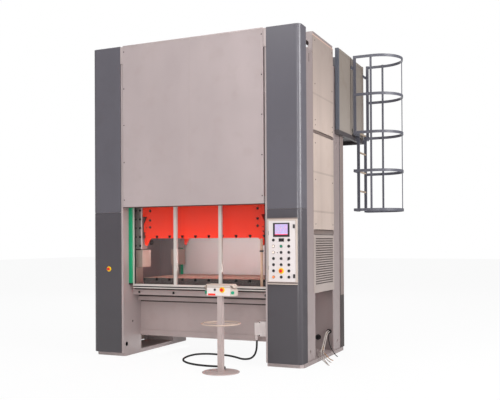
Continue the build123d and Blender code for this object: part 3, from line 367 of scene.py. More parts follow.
# %% Louvres, covers and side panels
louvre_low, louvre_pitch, louvre_slot = 0.9845, 0.030, 0.0065
louvre_height, louvre_width = (0.97, 1.568), (-0.345, 0.345)
cover_floor, cover_waist, cover_joint = 0.2, 1.9, 1.9185
cover_side, cover_flat, cover_rear, bay_top = 1.4975, 1.4985, 0.6, 0.775
shade_band_heights, shade_band_half = (3.384, 2.397, 1.900), 0.012
panel_high, panel_middle, panel_edge = 4.1, 2.9, 4.112


def louvre_marks(finish, base):
    x, y, z = finish.axes()
    # The slots are painted dark as painted shade.
    from_slot = (z - louvre_low).to_and_fro(louvre_pitch / 2)
    louvre_slot_shade = (from_slot < louvre_slot) * between(z, *louvre_height) * between(y, *louvre_width)
    return finish.mix(louvre_slot_shade, base, shade(66, 52, 48))


def cover_marks(finish, base):
    """The lower covers, painted darker towards the floor as painted shade, and the rear covers' sides, which are
    lighter above the bays.
    """
    x, y, z = finish.axes()
    lower = finish.mix(finish.ramp(z, cover_floor, cover_waist), shade(46, 40, 45), shade(72, 67, 73))
    toned = finish.mix((z < cover_joint) * 0.85, base, lower)
    rear_side = (abs(x) > cover_side) * (y > cover_rear)
    side = finish.mix(rear_side, toned, shade(62, 54, 53))
    return finish.mix(rear_side * (z > bay_top), side, shade(130, 116, 112))


def cover_sides(finish):
    """The flat sides of the covers, which are duller than their polished corners."""
    x, y, z = finish.axes()
    return abs(x) > cover_flat


def edge_marks(finish, base):
    """Bands of painted shade, upright streaks of painted reflection, an upper half painted darker as painted shade,
    and a warm painted highlight along the panels' top edge.
    """
    x, y, z = finish.axes()
    # The level bands are painted shade and the upright streaks painted reflection.
    bands = sum(between(z, level - shade_band_half, level + shade_band_half) for level in shade_band_heights)
    streaks = finish.ramp(finish.noise(1.0, 5.0, finish.stretched((1.0, 9.0, 0.35))), 0.42, 0.70)
    toned = finish.mix(bands * 0.35 + streaks * 0.22, base, shade(132, 116, 108))
    high = finish.mix(finish.ramp(z, panel_middle, panel_high) * 0.75, toned, shade(140, 126, 120))
    return finish.mix(z > panel_edge, high, shade(206, 172, 156))


# %% [markdown]
# ## The uprights
# An upright is a welded box that is open to the side below. Its inner face, its bay and its outer side are painted
# darker than its front as painted shade, and darkest, with more painted shade, where the dies work. The wiring holes
# are painted black as painted shade, and the cables' gland is black. Both uprights share the marks, because the masks
# read how far x and y are from the middle, without their signs.

# %% Inner faces, bays and wiring holes
inner_face, outer_face, upright_side = 1.029, 1.4885, 1.489
bay_back, bay_height = 0.441, (0.051, 0.95)
die_space_half_depth, die_space_height = 0.69, (0.951, 2.4)
wiring_holes = [((0.795, 0.160), 0.030), ((0.648, 0.453), 0.013)]
gland_middle, gland_radius, gland_depth = (1.408, 0.297), 0.03536, (0.39, 0.4395)


def upright_marks(finish, base):
    x, y, z = finish.axes()
    away_x, away_y = abs(x), abs(y)
    inner = between(away_x, inner_face, 1.031)
    bay = between(away_x, 1.031, upright_side) * (away_y < bay_back) * between(z, *bay_height)
    # The inner face, the bay and the outer side are painted darker as painted shade, more where the dies work, and
    # the holes black as painted shade.
    painted_side_shade = finish.mix(inner * 0.55 + bay * 0.4 + (away_x > outer_face) * 0.95, base, shade(140, 126, 125))
    die_space = between(away_x, inner_face, 1.488) * (away_y < die_space_half_depth)
    painted_die_shade = finish.mix(die_space * between(z, *die_space_height), painted_side_shade, shade(116, 104, 104))
    holes = sum(in_circle(away_y, z, middle, radius) for middle, radius in wiring_holes)
    gland = in_circle(away_x, z, gland_middle, gland_radius) * between(y, *gland_depth)
    return finish.mix(holes * between(away_x, 1.0, 1.1) + gland, painted_die_shade, black_and_painted_shade)


# %% [markdown]
# ## Shadow lines at the front
# The crown panels are folded back at the bottom, and the bed has a flange, a groove and a ledge. Each casts a line
# of shadow that lamps from the front would wash out, so the lines are painted. The control stand's hand ring is
# warmer than its column.

# %% Crown panels, bed and stand
panel_fold = 1.989
bed_shadows = [(0.8805, 0.935), (0.7805, 0.8115), (0.704, 0.7265)]
ring_height, column_middle, column_reach = (0.550, 0.590), (0.688, -1.417), 0.06


def panel_marks(finish, base):
    x, y, z = finish.axes()
    return finish.mix(z < panel_fold, base, shade(62, 40, 36))


def bed_marks(finish, base):
    x, y, z = finish.axes()
    return finish.mix(sum(between(z, *shadow) for shadow in bed_shadows), base, shade(58, 46, 43))


def stand_marks(finish, base):
    x, y, z = finish.axes()
    off_column = 1 - in_circle(x, y, column_middle, column_reach)
    return finish.mix(between(z, *ring_height) * off_column, base, shade(186, 165, 152))


# %% [markdown]
# ## The press's paints
# The machine is sprayed in two greys, its slide in red and its guide channels in green. One helper makes them all,
# and each paint gives only what sets it apart. Greys that look alike are separate paints where their marks differ.

# %% Mix the paints
light_paint = paint("light_grey_paint", shade(183, 169, 168))
upright_paint = paint("upright_paint", shade(183, 169, 168), marks=upright_marks)
panel_paint = paint("crown_panel_paint", shade(177, 163, 163), marks=panel_marks)
stand_paint = paint("stand_paint", shade(183, 167, 164), marks=stand_marks)
bed_paint = paint("bed_paint", shade(173, 156, 154), smears=0.16, marks=bed_marks)
# The joint strips are painted darker, as painted shade of the gaps between the side panels.
shaded_joint_paint = paint("joint_strip_paint", shade(112, 96, 90))
side_paint = paint("side_panel_paint", shade(194, 176, 166), roughness=0.38, marks=edge_marks)
louvre_paint = paint("louvre_paint", shade(162, 148, 142), roughness=0.38, marks=louvre_marks)
dark_paint = paint(
    "dark_cover_paint", shade(94, 91, 99), roughness=0.34, smears=0.15, marks=cover_marks, coat=0.6,
    matt=cover_sides,
)
red_paint = paint("red_slide_paint", shade(255, 50, 14), roughness=0.35, marks=slide_marks)
shoe_paint = paint("red_shoe_paint", shade(255, 50, 16), roughness=0.35)
green_paint = paint("green_guide_paint", shade(0, 158, 108), roughness=0.4)
white_paint = paint("white_panel_paint", shade(222, 212, 210), roughness=0.4, drift=0.03, smears=0.05)
door_paint = paint(
    "white_door_paint", shade(226, 217, 216), roughness=0.4, drift=0.03, smears=0.05, marks=door_marks,
)
box_paint = paint("panel_box_paint", shade(206, 190, 180), roughness=0.4, drift=0.03, marks=box_marks)
console_paint = paint("console_paint", shade(230, 221, 218), roughness=0.4, drift=0.03, marks=console_marks)
hood_paint = paint("hood_paint", shade(204, 188, 176), roughness=0.4, drift=0.03)
pink_paint = paint("stop_housing_paint", shade(158, 140, 130), roughness=0.45)
ladder_paint = paint("ladder_paint", shade(84, 84, 94), roughness=0.4, smears=0.2, marks=ladder_marks)
cage_paint = paint("cage_paint", shade(92, 92, 102), roughness=0.4, smears=0.2)
parapet_paint = paint("landing_wall_paint", shade(140, 129, 120), roughness=0.4, marks=parapet_marks)
# The landing floor is painted dark, as painted shade of its underside.
shaded_landing_floor_paint = paint("landing_floor_paint", shade(72, 66, 68), roughness=0.5)
guard_sheet_paint = paint("rear_guard_paint", shade(204, 200, 198), roughness=0.45)
power_paint = paint("power_unit_paint", shade(120, 120, 124), roughness=0.45, smears=0.25)
print(len(bpy.data.materials), "paints")

# %% [markdown]
# ## Machined and drawn metal
# The table top, the rails and the rods are bare. Grinding and drawing leave fine lines along one direction. They
# could be a Wave texture, but real lines start and stop, so a noise is squeezed across the lines and stretched
# along them before it reaches the roughness and the bump.

# %% Metal finishes
def metal(name, colour, lines, roughness, stain, metallic=1.0, marks=None):
    """Lines says how often the grain changes along x, y and z, in times per metre."""
    finish = Finish(name)
    grain = finish.noise(1.0, 3.0, finish.stretched(lines))
    patch = finish.ramp(finish.noise(3.0, 4.0), 0.45, 0.75)
    base = finish.mix(patch * 0.7 + grain * 0.2, colour, tinted(colour, 1 - stain))
    return finish.surface(
        Base_Color=marks(finish, base) if marks else base,
        Metallic=metallic,
        Roughness=roughness + grain * 0.18 + patch * 0.08,
        Normal=finish.bump(grain, 0.12, 0.0005),
    )


table_steel = metal("table_steel", shade(164, 148, 132), (600, 8, 600), 0.5, 0.15, 0.2, table_marks)
rail_steel = metal("rail_steel", shade(176, 164, 160), (400, 400, 6), 0.36, 0.2, 0.7)
rod_chrome = metal("rod_chrome", shade(205, 205, 210), (3, 3, 500), 0.12, 0.05)
aluminium = metal("guard_aluminium", shade(214, 206, 200), (500, 500, 10), 0.42, 0.08, 0.45, guard_marks)
bright_steel = metal("bright_steel", shade(190, 190, 192), (300, 300, 300), 0.25, 0.1)
bolt_black = metal("blackened_bolt", shade(48, 44, 44), (300, 300, 300), 0.5, 0.3, 0.6)
print(len(bpy.data.materials), "paints and metals")

# %% [markdown]
# ## Plastics, rubber and the clear panes
# Caps and glands are moulded, so they have a faint grain and no lines. The panes are clear sheet: a pane lets the
# light through, and only its reflections and a slight haze show that it is there, so its alpha stays low.

# %% Plastic finishes
def plastic(name, colour, roughness, grain=0.05, glow=0.0):
    """Glow is what a lit lamp gives off; on parts that are no lamps it is painted light."""
    finish = Finish(name)
    cloud = finish.noise(40.0, 3.0)
    return finish.surface(
        Base_Color=finish.mix(cloud, tinted(colour, 0.86), colour),
        Roughness=roughness + cloud * 0.08,
        Normal=finish.bump(finish.noise(900.0, 1.0), grain, 0.0002),
        Emission_Color=colour,
        Emission_Strength=glow,
    )


def clear_sheet(name, alpha):
    finish = Finish(name)
    haze = finish.ramp(finish.noise(1.6, 3.0), 0.3, 0.8)
    return finish.surface(
        Base_Color=shade(150, 148, 150), Roughness=0.06 + haze * 0.05, Alpha=alpha + haze * 0.03,
    )


def lit_screen(name, red_line):
    """A lit display: a pale lavender field with faint pink cells, and a red line between two heights."""
    finish = Finish(name)
    x, y, z = finish.axes()
    cells = finish.node("ShaderNodeTexVoronoi", None, {"Vector": finish.where(), "Scale": 90.0}, out=1)
    tint = finish.ramp(finish.noise(55.0, 3.0), 0.5, 0.7)
    field = finish.mix(tint * 0.6, shade(176, 160, 206), shade(214, 150, 190))
    field = finish.mix(0.12, field, cells)
    lit = finish.mix(between(z, *red_line), field, shade(226, 60, 90))
    return finish.surface(Base_Color=lit, Roughness=0.25, Emission_Color=lit, Emission_Strength=0.35)


black_plastic = plastic("black_plastic", shade(32, 30, 31), 0.42)
green_plastic = plastic("green_plastic", shade(0, 150, 112), 0.3)
red_plastic = plastic("red_plastic", shade(232, 30, 26), 0.3)
# The yellow plates glow a little, as painted light.
yellow_plastic = plastic("yellow_plastic", shade(252, 208, 20), 0.4, 0.05, 0.08)
orange_lamp = plastic("orange_lamp", shade(244, 138, 70), 0.3, 0.0, 0.3)
cream_lamp = plastic("cream_lamp", shade(246, 226, 214), 0.3, 0.0, 0.15)
dark_glass = plastic("dark_glass", shade(42, 34, 38), 0.15, 0.0)
hose_rubber = plastic("hose_rubber", shade(24, 22, 23), 0.7, 0.3)
grey_sheath = plastic("grey_sheath", shade(204, 196, 190), 0.45)
black_sheath = plastic("black_sheath", shade(40, 38, 38), 0.45)
tan_sheath = plastic("tan_sheath", shade(190, 150, 110), 0.5)
# The red label glows a little, as painted light.
label_red = plastic("label_red", shade(255, 40, 24), 0.5, 0.05, 0.1)
post_tan = plastic("post_tan", shade(206, 168, 142), 0.5)
screen_glass = lit_screen("screen_glass", (1.6020, 1.6110))
clear_pane = clear_sheet("clear_pane", 0.015)
print(len(bpy.data.materials), "finishes so far")

# %% [markdown]
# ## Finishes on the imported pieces
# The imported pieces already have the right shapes, so each only takes its finish. A table of names is easier to
# check against the real press than a long row of assignments. What it leaves out, such as the latches, the guard's
# bumpers and most of the small controls, is black.

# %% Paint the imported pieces
node_finish = {
    "upright_right": upright_paint, "upright_left": upright_paint, "bed": bed_paint, "crown": light_paint,
    "bolster_plate": table_steel, "cylinder_barrels": light_paint, "slide_rails": rail_steel,
    "stop_housings": pink_paint, "pillar_covers_lower": dark_paint, "pillar_covers_upper": dark_paint,
    "crown_panels": panel_paint, "side_panels": side_paint, "louvre_panels": louvre_paint,
    "guard_guides": green_paint, "operator_box": box_paint, "operator_door": door_paint,
    "control_stand": stand_paint, "console": console_paint,
    "junction_box": white_paint, "foot_hose": hose_rubber, "loose_cables": grey_sheath,
    "platform_floor": shaded_landing_floor_paint, "platform_parapets": parapet_paint, "platform_gate": parapet_paint,
    "ladder": ladder_paint, "safety_cage": cage_paint, "oil_tank": light_paint, "pump_motor": power_paint,
    "valve_block": rail_steel, "slide": red_paint, "guide_shoes": shoe_paint, "piston_rods": rod_chrome,
    "front_guard_frame": aluminium, "front_guard_panes": clear_pane, "rear_guard": guard_sheet_paint,
    "start_button_left": green_plastic, "start_button_right": green_plastic, "button_start": green_plastic,
    "console_emergency_stop": red_plastic, "pillar_emergency_stop": red_plastic,
    "panel_emergency_stop": red_plastic,
}
for name, node in nodes.items():
    node.data.materials.clear()
    node.data.materials.append(node_finish.get(name, black_plastic))
print(len(node_finish), "packed pieces named,", len(nodes) - len(node_finish), "black")

# %% [markdown]
# ## Turned and flat pieces
# Screw heads, caps, lamps and stop plates are all round, so one helper makes them as on a lathe: it starts with a
# circle and extrudes and resizes it ring by ring up a profile. A flat piece starts as a cube that is resized to its
# place and then bevelled, because no real edge is perfectly sharp. What repeats is made once, pointing up, and is
# copied, turned to its face and joined with its row, so a row of screws is one piece with one finish. These pieces
# are given in millimetres, as on a drawing.

# %% Helpers for new pieces
MM = 0.001
FRONT, RIGHT, UP = (0, -1, 0), (1, 0, 0), (0, 0, 1)


def start_piece(add, name, **how):
    """Adds a primitive with nothing else selected, and opens it in edit mode."""
    bpy.ops.object.select_all(action="DESELECT")
    add(**how)
    piece = bpy.context.object
    piece.name = piece.data.name = name
    bpy.ops.object.mode_set(mode="EDIT")
    bpy.ops.mesh.select_all(action="SELECT")
    return piece


def end_piece(piece):
    """Points the faces outwards, leaves edit mode and takes the place into the mesh."""
    bpy.ops.mesh.select_all(action="SELECT")
    bpy.ops.mesh.normals_make_consistent(inside=False)
    bpy.ops.object.mode_set(mode="OBJECT")
    bpy.ops.object.transform_apply(location=True, rotation=True, scale=True)
    bpy.ops.object.shade_smooth_by_angle(angle=math.radians(35))
    return piece


def turned_piece(name, profile, sides, ring=False):
    """Goes up a profile of (radius, height) in mm; a ring's profile comes back to its first point."""
    (radius, height), *rest = profile
    piece = start_piece(
        bpy.ops.mesh.primitive_circle_add, name, vertices=sides, radius=radius * MM,
        fill_type="NOTHING" if ring else "NGON", location=(0, 0, height * MM),
    )
    for wider, higher in rest:
        bpy.ops.mesh.extrude_region_move(TRANSFORM_OT_translate={"value": (0, 0, (higher - height) * MM)})
        share = wider / radius
        bpy.ops.transform.resize(value=(share, share, 1), center_override=(0, 0, higher * MM))
        radius, height = wider, higher
    if ring:
        bpy.ops.mesh.select_all(action="SELECT")
        bpy.ops.mesh.remove_doubles(threshold=1e-6)
    return end_piece(piece)


def flat_piece(name, low, high, edge, steps=2):
    """A block between two corners in mm, with bevelled edges."""
    middle = [(a + b) / 2 * MM for a, b in zip(low, high)]
    size = [(b - a) * MM for a, b in zip(low, high)]
    piece = start_piece(bpy.ops.mesh.primitive_cube_add, name, size=1, location=middle)
    bpy.ops.transform.resize(value=size, center_override=middle)
    bpy.ops.mesh.bevel(offset=edge * MM, segments=steps, affect="EDGES")
    return end_piece(piece)


def dress(piece, body, finish):
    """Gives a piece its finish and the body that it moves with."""
    piece.data.materials.clear()
    piece.data.materials.append(finish)
    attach(piece, body)
    return piece


def trim(name, low, high, edge, body, finish, steps=2):
    """A flat piece that is dressed at once."""
    return dress(flat_piece(name, low, high, edge, steps), body, finish)


def joined(pieces):
    """Joins pieces into the first one."""
    bpy.ops.object.select_all(action="DESELECT")
    for piece in pieces:
        piece.select_set(True)
    bpy.context.view_layer.objects.active = pieces[0]
    if len(pieces) > 1:
        bpy.ops.object.join()
    return pieces[0]


def row_of(master, name, places, body, finish):
    """Copies a piece that points up to each (place in mm, facing), and joins the copies into one."""
    copies = []
    for place, facing in places:
        copy = bpy.data.objects.new(name, master.data.copy())
        bpy.context.scene.collection.objects.link(copy)
        turn = Vector(facing).to_track_quat("Z", "Y").to_matrix().to_4x4()
        copy.data.transform(Matrix.Translation(Vector(place) * MM) @ turn)
        copies.append(copy)
    piece = joined(copies)
    piece.name = piece.data.name = name
    print(name, len(places), "places", len(piece.data.polygons), "faces")
    return dress(piece, body, finish)


# %% [markdown]
# ## Screws and bolts
# The panels hang on button-head screws with a hexagon socket. The bed, the rails and the slide carry larger hexagon
# bolts on washers. A bolt is two turned pieces: the washer has many sides and the head has six. Their threads are
# out of sight, so they have none.

# %% Make the fasteners
screw = turned_piece("button_screw", [(8, 0), (8, 1.2), (7.2, 2.3), (5.2, 3.2), (3.2, 3.4), (3.0, 1.4)], 12)
bolt_washer = turned_piece("bolt_washer", [(17, 0), (17, 2.4), (16.4, 3.0)], 20)
bolt_head = turned_piece("bolt_head", [(13.5, 2.9), (13.5, 11.0), (11.8, 12.2)], 6)
bolt = joined([bolt_washer, bolt_head])


def fasten(fastener, name, places, body="frame"):
    row_of(fastener, name, places, body, bolt_black)


print("screw", len(screw.data.polygons), "faces, bolt", len(bolt.data.polygons), "faces")

# %% [markdown]
# ## Rows of fasteners
# A row sits at the same heights on both sides, and often on both faces, so loops over the side and the face place
# it. The side panels' screws have no even pitch, so their places stay a list.

# %% Screw the panels on
crown_face, side_face = 888, 1493
crown_heights = (2083, 2582, 3076, 3563, 4056)
crown_screws = [
    ((x, face * crown_face, z), (0, face, 0)) for face in (-1, 1) for x in (-998, 998) for z in crown_heights
]
fasten(screw, "crown_panel_screws", crown_screws)

side_screw_places = [
    (-335, 3511), (-335, 3054), (-335, 2991), (-335, 2763), (-335, 2302), (-335, 1740), (365, 3538),
    (365, 3054), (365, 2991), (365, 2302), (365, 1740), (-335, 4060), (365, 4060),
]
side_screws = [((side * side_face, y, z), (side, 0, 0)) for side in (-1, 1) for y, z in side_screw_places]
fasten(screw, "side_panel_screws", side_screws)

# %% Bolt the bed, the rails and the slide
bed_face, rail_face, slide_face = 635, 600, 570
bed_bolts = [((x, face * bed_face, 846), (0, face, 0)) for face in (-1, 1) for x in (-931, -399, 399, 931)]
fasten(bolt, "bed_flange_bolts", bed_bolts)

rail_heights = (1472, 1592, 1712, 1832, 1952, 2072)
rail_bolts = [
    ((side * x, face * rail_face, z), (0, face, 0))
    for side in (-1, 1) for face in (-1, 1) for x in (1011, 935) for z in rail_heights
]
fasten(bolt, "rail_bolts", rail_bolts)

slide_bolts = [
    ((side * 796, face * slide_face, z), (0, face, 0))
    for face in (-1, 1) for side in (-1, 1) for z in (1723, 1816, 1944)
]
fasten(bolt, "slide_bolts", slide_bolts, "ram")
slide_screws = [((x, -slide_face, z), FRONT) for x, z in ((-854, 1719), (870, 1710), (870, 1659))]
fasten(screw, "slide_screws", slide_screws, "ram")

# %% [markdown]
# ## Inside the die space
# A black sensor cap sits on the left upright's inner face, and a tan post with a clip stands at the table's right
# front corner. Black rubber strips seal the guard's panes.

# %% Sensor, post and seals
sensor = turned_piece("sensor_cap", [(40, 0), (40, 14), (36, 22), (30, 25), (24, 25), (22, 20)], 28)
row_of(sensor, "side_sensor", [((-1030, -175, 1514), RIGHT)], "frame", black_plastic)
bpy.data.objects.remove(sensor)

trim("gauge_post", (842, -600, 950), (876, -588, 1560), 2.0, "frame", post_tan)
trim("gauge_clip", (836, -606, 1390), (884, -587, 1412), 2.0, "frame", black_plastic)

pane_low, pane_high = 961, 2040
seal_edges = [(-964, -944), (944, 964), (-354, -349), (-311, -306), (306, 311), (349, 354)]
for number, (low_x, high_x) in enumerate(seal_edges, 1):
    low, high = (low_x, -697, pane_low), (high_x, -693.5, pane_high)
    trim(f"pane_seal_{number}", low, high, 0.8, "front_guard", black_plastic, 1)
print(len(seal_edges), "seals along the panes")

# %% [markdown]
# ## Side joints and the gate
# A folded strip closes the gap between two side panels, a little behind their faces, and its paint is darker as
# painted shade of the gap. The post that the gate shuts on has a black seal and a catch, and the gate's lower front
# corner a black toe.

# %% Joint strips and the gate's edge
trim("crown_seam_filler", (-2, -886.8, 1980), (2, -884, 4116), 0.4, "frame", light_paint, 1)
panel_joints, strip_margin = ((1604, 1668), (2885, 2922)), 4
for side, label in ((-1, "left"), (1, "right")):
    left, right = sorted((side * 1484, side * 1491))
    for level, (low_z, high_z) in enumerate(panel_joints, 1):
        low, high = (left, -408, low_z + strip_margin), (right, 408, high_z - strip_margin)
        trim(f"joint_strip_{label}_{level}", low, high, 1.5, "frame", shaded_joint_paint)
trim("gate_post_seal", (1549, 1062, 3050), (1551, 1074, 4150), 0.8, "frame", black_plastic)
trim("gate_catch", (1549, 1094, 3979), (1555, 1114, 4052), 1.5, "frame", bright_steel)
trim("gate_toe", (1545, 1124, 3096), (1549, 1164, 3140), 1.2, "gate", black_plastic)
print(2 * len(panel_joints), "joint strips, the gate's seal, catch and toe")

# %% [markdown]
# ## The crown's edges
# A cap closes the crown panels along their top, and a strip closes each gap between a panel and the dark cover
# beside it, above the end of the post. They are folded sheet, so their edges have small bevels.

# %% Crown caps and corner strips
panel_half_width, panel_top, post_top = 1016, 4118.5, 3901
for face, label in ((-1, "front"), (1, "rear")):
    near, far = sorted((face * 888, face * 850))
    low, high = (-panel_half_width, near, panel_top), (panel_half_width, far, 4138)
    trim(f"crown_cap_{label}", low, high, 2.0, "frame", light_paint)
    near, far = sorted((face * 884, face * 872))
    for side, hand in ((-1, "left"), (1, "right")):
        left, right = sorted((side * 1017, side * 1057))
        low, high = (left, near, post_top), (right, far, 4128)
        trim(f"corner_strip_{label}_{hand}", low, high, 1.5, "frame", light_paint)
print("crown: 2 caps and 4 corner strips")

# %% [markdown]
# ## The operator panel
# Beside the moving controls the panel has three lamps, a blank, a small display and the large screen. A lamp's lens
# is a domed cap over its base, so it is turned. The displays are thin plates in front of the door, because a painted
# rectangle would have no edge of its own.

# %% Lamps and displays
door_front, pane_front, pane_back = -915, -919.8, -918.9
lens = turned_piece("lens", [(13.8, 3.1), (13.8, 11.3), (13.0, 13.4), (10.6, 15.2), (7.0, 16.4), (2.4, 16.9)], 24)
for name, x, z, finish in (
    ("lamp_upper", 1153, 1466, cream_lamp), ("lamp_lower", 1153, 1392, cream_lamp),
    ("lamp_orange", 1153, 1096, orange_lamp), ("blank_cap", 1351, 1096, black_plastic),
):
    row_of(lens, name, [((x, door_front, z), FRONT)], "door", finish)
bpy.data.objects.remove(lens)

trim("display_bezel", (1222, -919, 1521), (1290, -915, 1561), 1.2, "door", black_plastic)
for number, (low_x, high_x) in enumerate(((1229, 1252), (1259, 1283)), 1):
    low, high = (low_x, pane_front, 1528), (high_x, pane_back, 1554)
    trim(f"display_window_{number}", low, high, 0.3, "door", dark_glass, 1)
low, high = (1174, pane_front, 1602), (1339, pane_back, 1731)
trim("screen_glass_plate", low, high, 0.3, "door", screen_glass, 1)
key_dot = turned_piece("key_switch", [(6, 0), (6, 2), (5, 3), (2, 3), (1.6, 1.4)], 16)
row_of(key_dot, "panel_key", [((1204, door_front, 1388), FRONT)], "door", black_plastic)
bpy.data.objects.remove(key_dot)

# %% [markdown]
# ## Latch caps and stop plates
# A quarter-turn latch ends in a flat cap that turns with it, so the cap rides on the latch. Under each mushroom
# button lies a round yellow plate with a raised rim, which is one closed profile that is turned as a ring.

# %% Latch caps and stop plates
half_cap = 23
for name, body, z in (("latch_cap_lower", "latch_lower", 1109), ("latch_cap_upper", "latch_upper", 1703)):
    trim(name, (1407, -925, z - half_cap), (1431, -917, z + half_cap), 2.0, body, black_plastic)

plate = turned_piece(
    "stop_plate", [(34.2, 0), (34.2, 4.4), (33.4, 5.2), (11.0, 5.2), (11.0, 4.3), (33.3, 4.3), (33.3, 0), (34.2, 0)],
    36, True,
)
for name, place, body in (
    ("stop_plate_door", (1252, door_front, 1170), "door"), ("stop_plate_cover", (-1247, -885, 1165), "frame"),
    ("stop_plate_console", (735, -1470, 966), "frame"),
):
    row_of(plate, name, [(place, FRONT)], body, yellow_plastic)
bpy.data.objects.remove(plate)

# %% [markdown]
# ## The console and the terminal box
# A plain red plate on the console marks the two-hand start. The terminal box has a ribbed lid that four screws
# hold, and one rib is made and copied along it.

# %% Console plate, lid and ribs
trim("console_plate", (551, -1471.2, 899), (647, -1469.8, 921), 0.4, "frame", label_red, 1)

trim("box_lid", (796, -544, 324), (994, -539.5, 502), 2.0, "frame", white_paint)
rib = flat_piece("lid_rib", (-2.5, -1.5, -80), (2.5, 1.5, 80), 1.0)
ribs = [((812 + 24 * step, -545, 413), UP) for step in range(8)]
row_of(rib, "lid_ribs", ribs, "frame", white_paint)
lid_screws = [((x, -544, z), FRONT) for x in (802, 988) for z in (330, 496)]
fasten(screw, "lid_screws", lid_screws)
for used in (screw, bolt, rib):
    bpy.data.objects.remove(used)

# %% [markdown]
# ## The console's hood
# A folded sheet keeps chips off the console's buttons. It is one strip with a bend at each end: a plane makes the
# flat top, each short edge is extruded down over a wing, and Solidify gives the sheet its thickness.

# %% Fold the hood
hood_middle, hood_width, hood_depth = Vector((0.698, -1.418, 1.031)), 0.316, 0.128
wing_out, wing_down = 0.038, 0.036
hood = start_piece(bpy.ops.mesh.primitive_plane_add, "console_hood", size=1, location=hood_middle)
bpy.ops.transform.resize(value=(hood_width, hood_depth, 1), center_override=hood_middle)
for side in (-1, 1):
    end_x = hood_middle.x + side * hood_width / 2
    bpy.ops.mesh.select_all(action="DESELECT")
    bpy.ops.object.mode_set(mode="OBJECT")
    for vertex in hood.data.vertices:
        vertex.select = abs((hood.matrix_world @ vertex.co).x - end_x) < MM
    bpy.ops.object.mode_set(mode="EDIT")
    bpy.ops.mesh.extrude_edges_move(TRANSFORM_OT_translate={"value": (side * wing_out, 0, -wing_down)})
end_piece(hood)
sheet = hood.modifiers.new("sheet", "SOLIDIFY")
sheet.thickness = 0.006
rounded = hood.modifiers.new("rounded", "BEVEL")
rounded.width, rounded.segments = 0.0015, 2
bpy.ops.object.select_all(action="DESELECT")
hood.select_set(True)
bpy.context.view_layer.objects.active = hood
for modifier in ("sheet", "rounded"):
    bpy.ops.object.modifier_apply(modifier=modifier)
dress(hood, "frame", hood_paint)
trim("hood_lip", (540, -1478, 1016), (856, -1468, 1028), 2.0, "frame", hood_paint)
trim("console_riser", (540, -1472, 1001.5), (836, -1360, 1015), 1.5, "frame", white_paint)
print("hood", len(hood.data.polygons), "faces, lip and riser")

# %% [markdown]
# ## The second gland in the bay
# Beside the cables' gland sits a second black one. It is turned like a screw, with six sides for a spanner.

# %% Turn the gland
gland = turned_piece("gland", [(40, 0), (40, 14), (32, 15), (32, 44), (26, 52), (18, 52), (18, 30)], 6)
row_of(gland, "bay_gland", [((1252, 440, 212), FRONT)], "frame", black_plastic)
bpy.data.objects.remove(gland)

# %% [markdown]
# ## The hose and the loose cables
# A hose has one length and lies in long curves. A NURBS curve near few control points bends as a hose does: it is
# smooth everywhere and stays inside its points. The order is set after the points are added, because a new spline
# has too few of them to keep it. Each route starts where its cord leaves its piece.

# %% A helper for cords
def lay_cord(name, stands_for, route, thickness, length, finish):
    """A round cord along a route in mm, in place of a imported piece; its thickness and length are in metres."""
    curve = bpy.data.curves.new(name, "CURVE")
    curve.dimensions = "3D"
    curve.bevel_depth = thickness / 2
    curve.bevel_resolution = 4
    curve.use_fill_caps = True
    spline = curve.splines.new("NURBS")
    spline.points.add(len(route) - 1)
    for point, place in zip(spline.points, route):
        point.co = (*[v / 1000 for v in place], 1.0)
    spline.order_u = 3
    spline.use_endpoint_u = True
    spline.resolution_u = 8
    piece = bpy.data.objects.new(name, curve)
    bpy.context.scene.collection.objects.link(piece)
    curve.materials.append(finish)
    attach(piece, "frame")
    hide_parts(stands_for)
    print(name, length, "m")


# %% Lay the hose
hose_route = [
    (745, -498, 262), (745, -498, 205), (741, -502, 140), (723, -519, 72), (676, -552, 26),
    (560, -540, 13), (440, -440, 13), (290, -345, 13), (120, -300, 13), (-60, -300, 13),
    (-190, -385, 13), (-215, -545, 13), (-190, -730, 13), (-110, -910, 13), (30, -1050, 13),
    (190, -1130, 13), (350, -1155, 13), (480, -1150, 14), (590, -1172, 22), (652, -1230, 27),
    (668, -1300, 27), (668, -1357, 27),
]
lay_cord(
    "foot_hose_line", "foot_hose", hose_route, 0.025, 2.736, hose_rubber,
)

# %% Lay the loose cables
cable_routes = {
    "cable_front": [
        (1394, 408, 297), (1394, 356, 297), (1402, 268, 266), (1414, 170, 195), (1426, 60, 122),
        (1438, -60, 72), (1462, -180, 58), (1520, -285, 56.5), (1600, -375, 30), (1668, -455, 8),
        (1723, -530, 7),
    ],
    "cable_second": [
        (1408, 408, 311), (1408, 354, 311), (1416, 260, 284), (1430, 160, 214), (1443, 55, 144),
        (1456, -50, 96), (1486, -150, 74), (1535, -240, 60), (1594, -315, 30), (1640, -380, 9),
        (1676, -440, 7),
    ],
    "cable_third": [
        (1422, 408, 297), (1422, 354, 297), (1430, 260, 262), (1444, 165, 190), (1458, 70, 124),
        (1476, -20, 82), (1506, -100, 64), (1554, -170, 40), (1604, -225, 14), (1645, -275, 7),
        (1678, -322, 7),
    ],
    "cable_tan": [
        (1394, 408, 283), (1394, 358, 283), (1400, 270, 246), (1412, 180, 172), (1430, 95, 108),
        (1462, 20, 74), (1508, -38, 60), (1556, -84, 34), (1600, -120, 10), (1650, -155, 7),
    ],
    "cable_black": [
        (1422, 408, 283), (1422, 376, 283), (1434, 328, 240), (1452, 288, 184), (1476, 256, 132),
        (1508, 228, 90), (1544, 204, 52), (1578, 182, 20), (1610, 160, 7),
    ],
}
cable_length = {
    "cable_front": 1.093, "cable_second": 0.977, "cable_third": 0.866, "cable_tan": 0.725, "cable_black": 0.442,
}
sheaths = {"cable_tan": tan_sheath, "cable_black": black_sheath}
for name, route in cable_routes.items():
    sheath = sheaths.get(name, grey_sheath)
    lay_cord(name, "loose_cables", route, 0.012, cable_length[name], sheath)

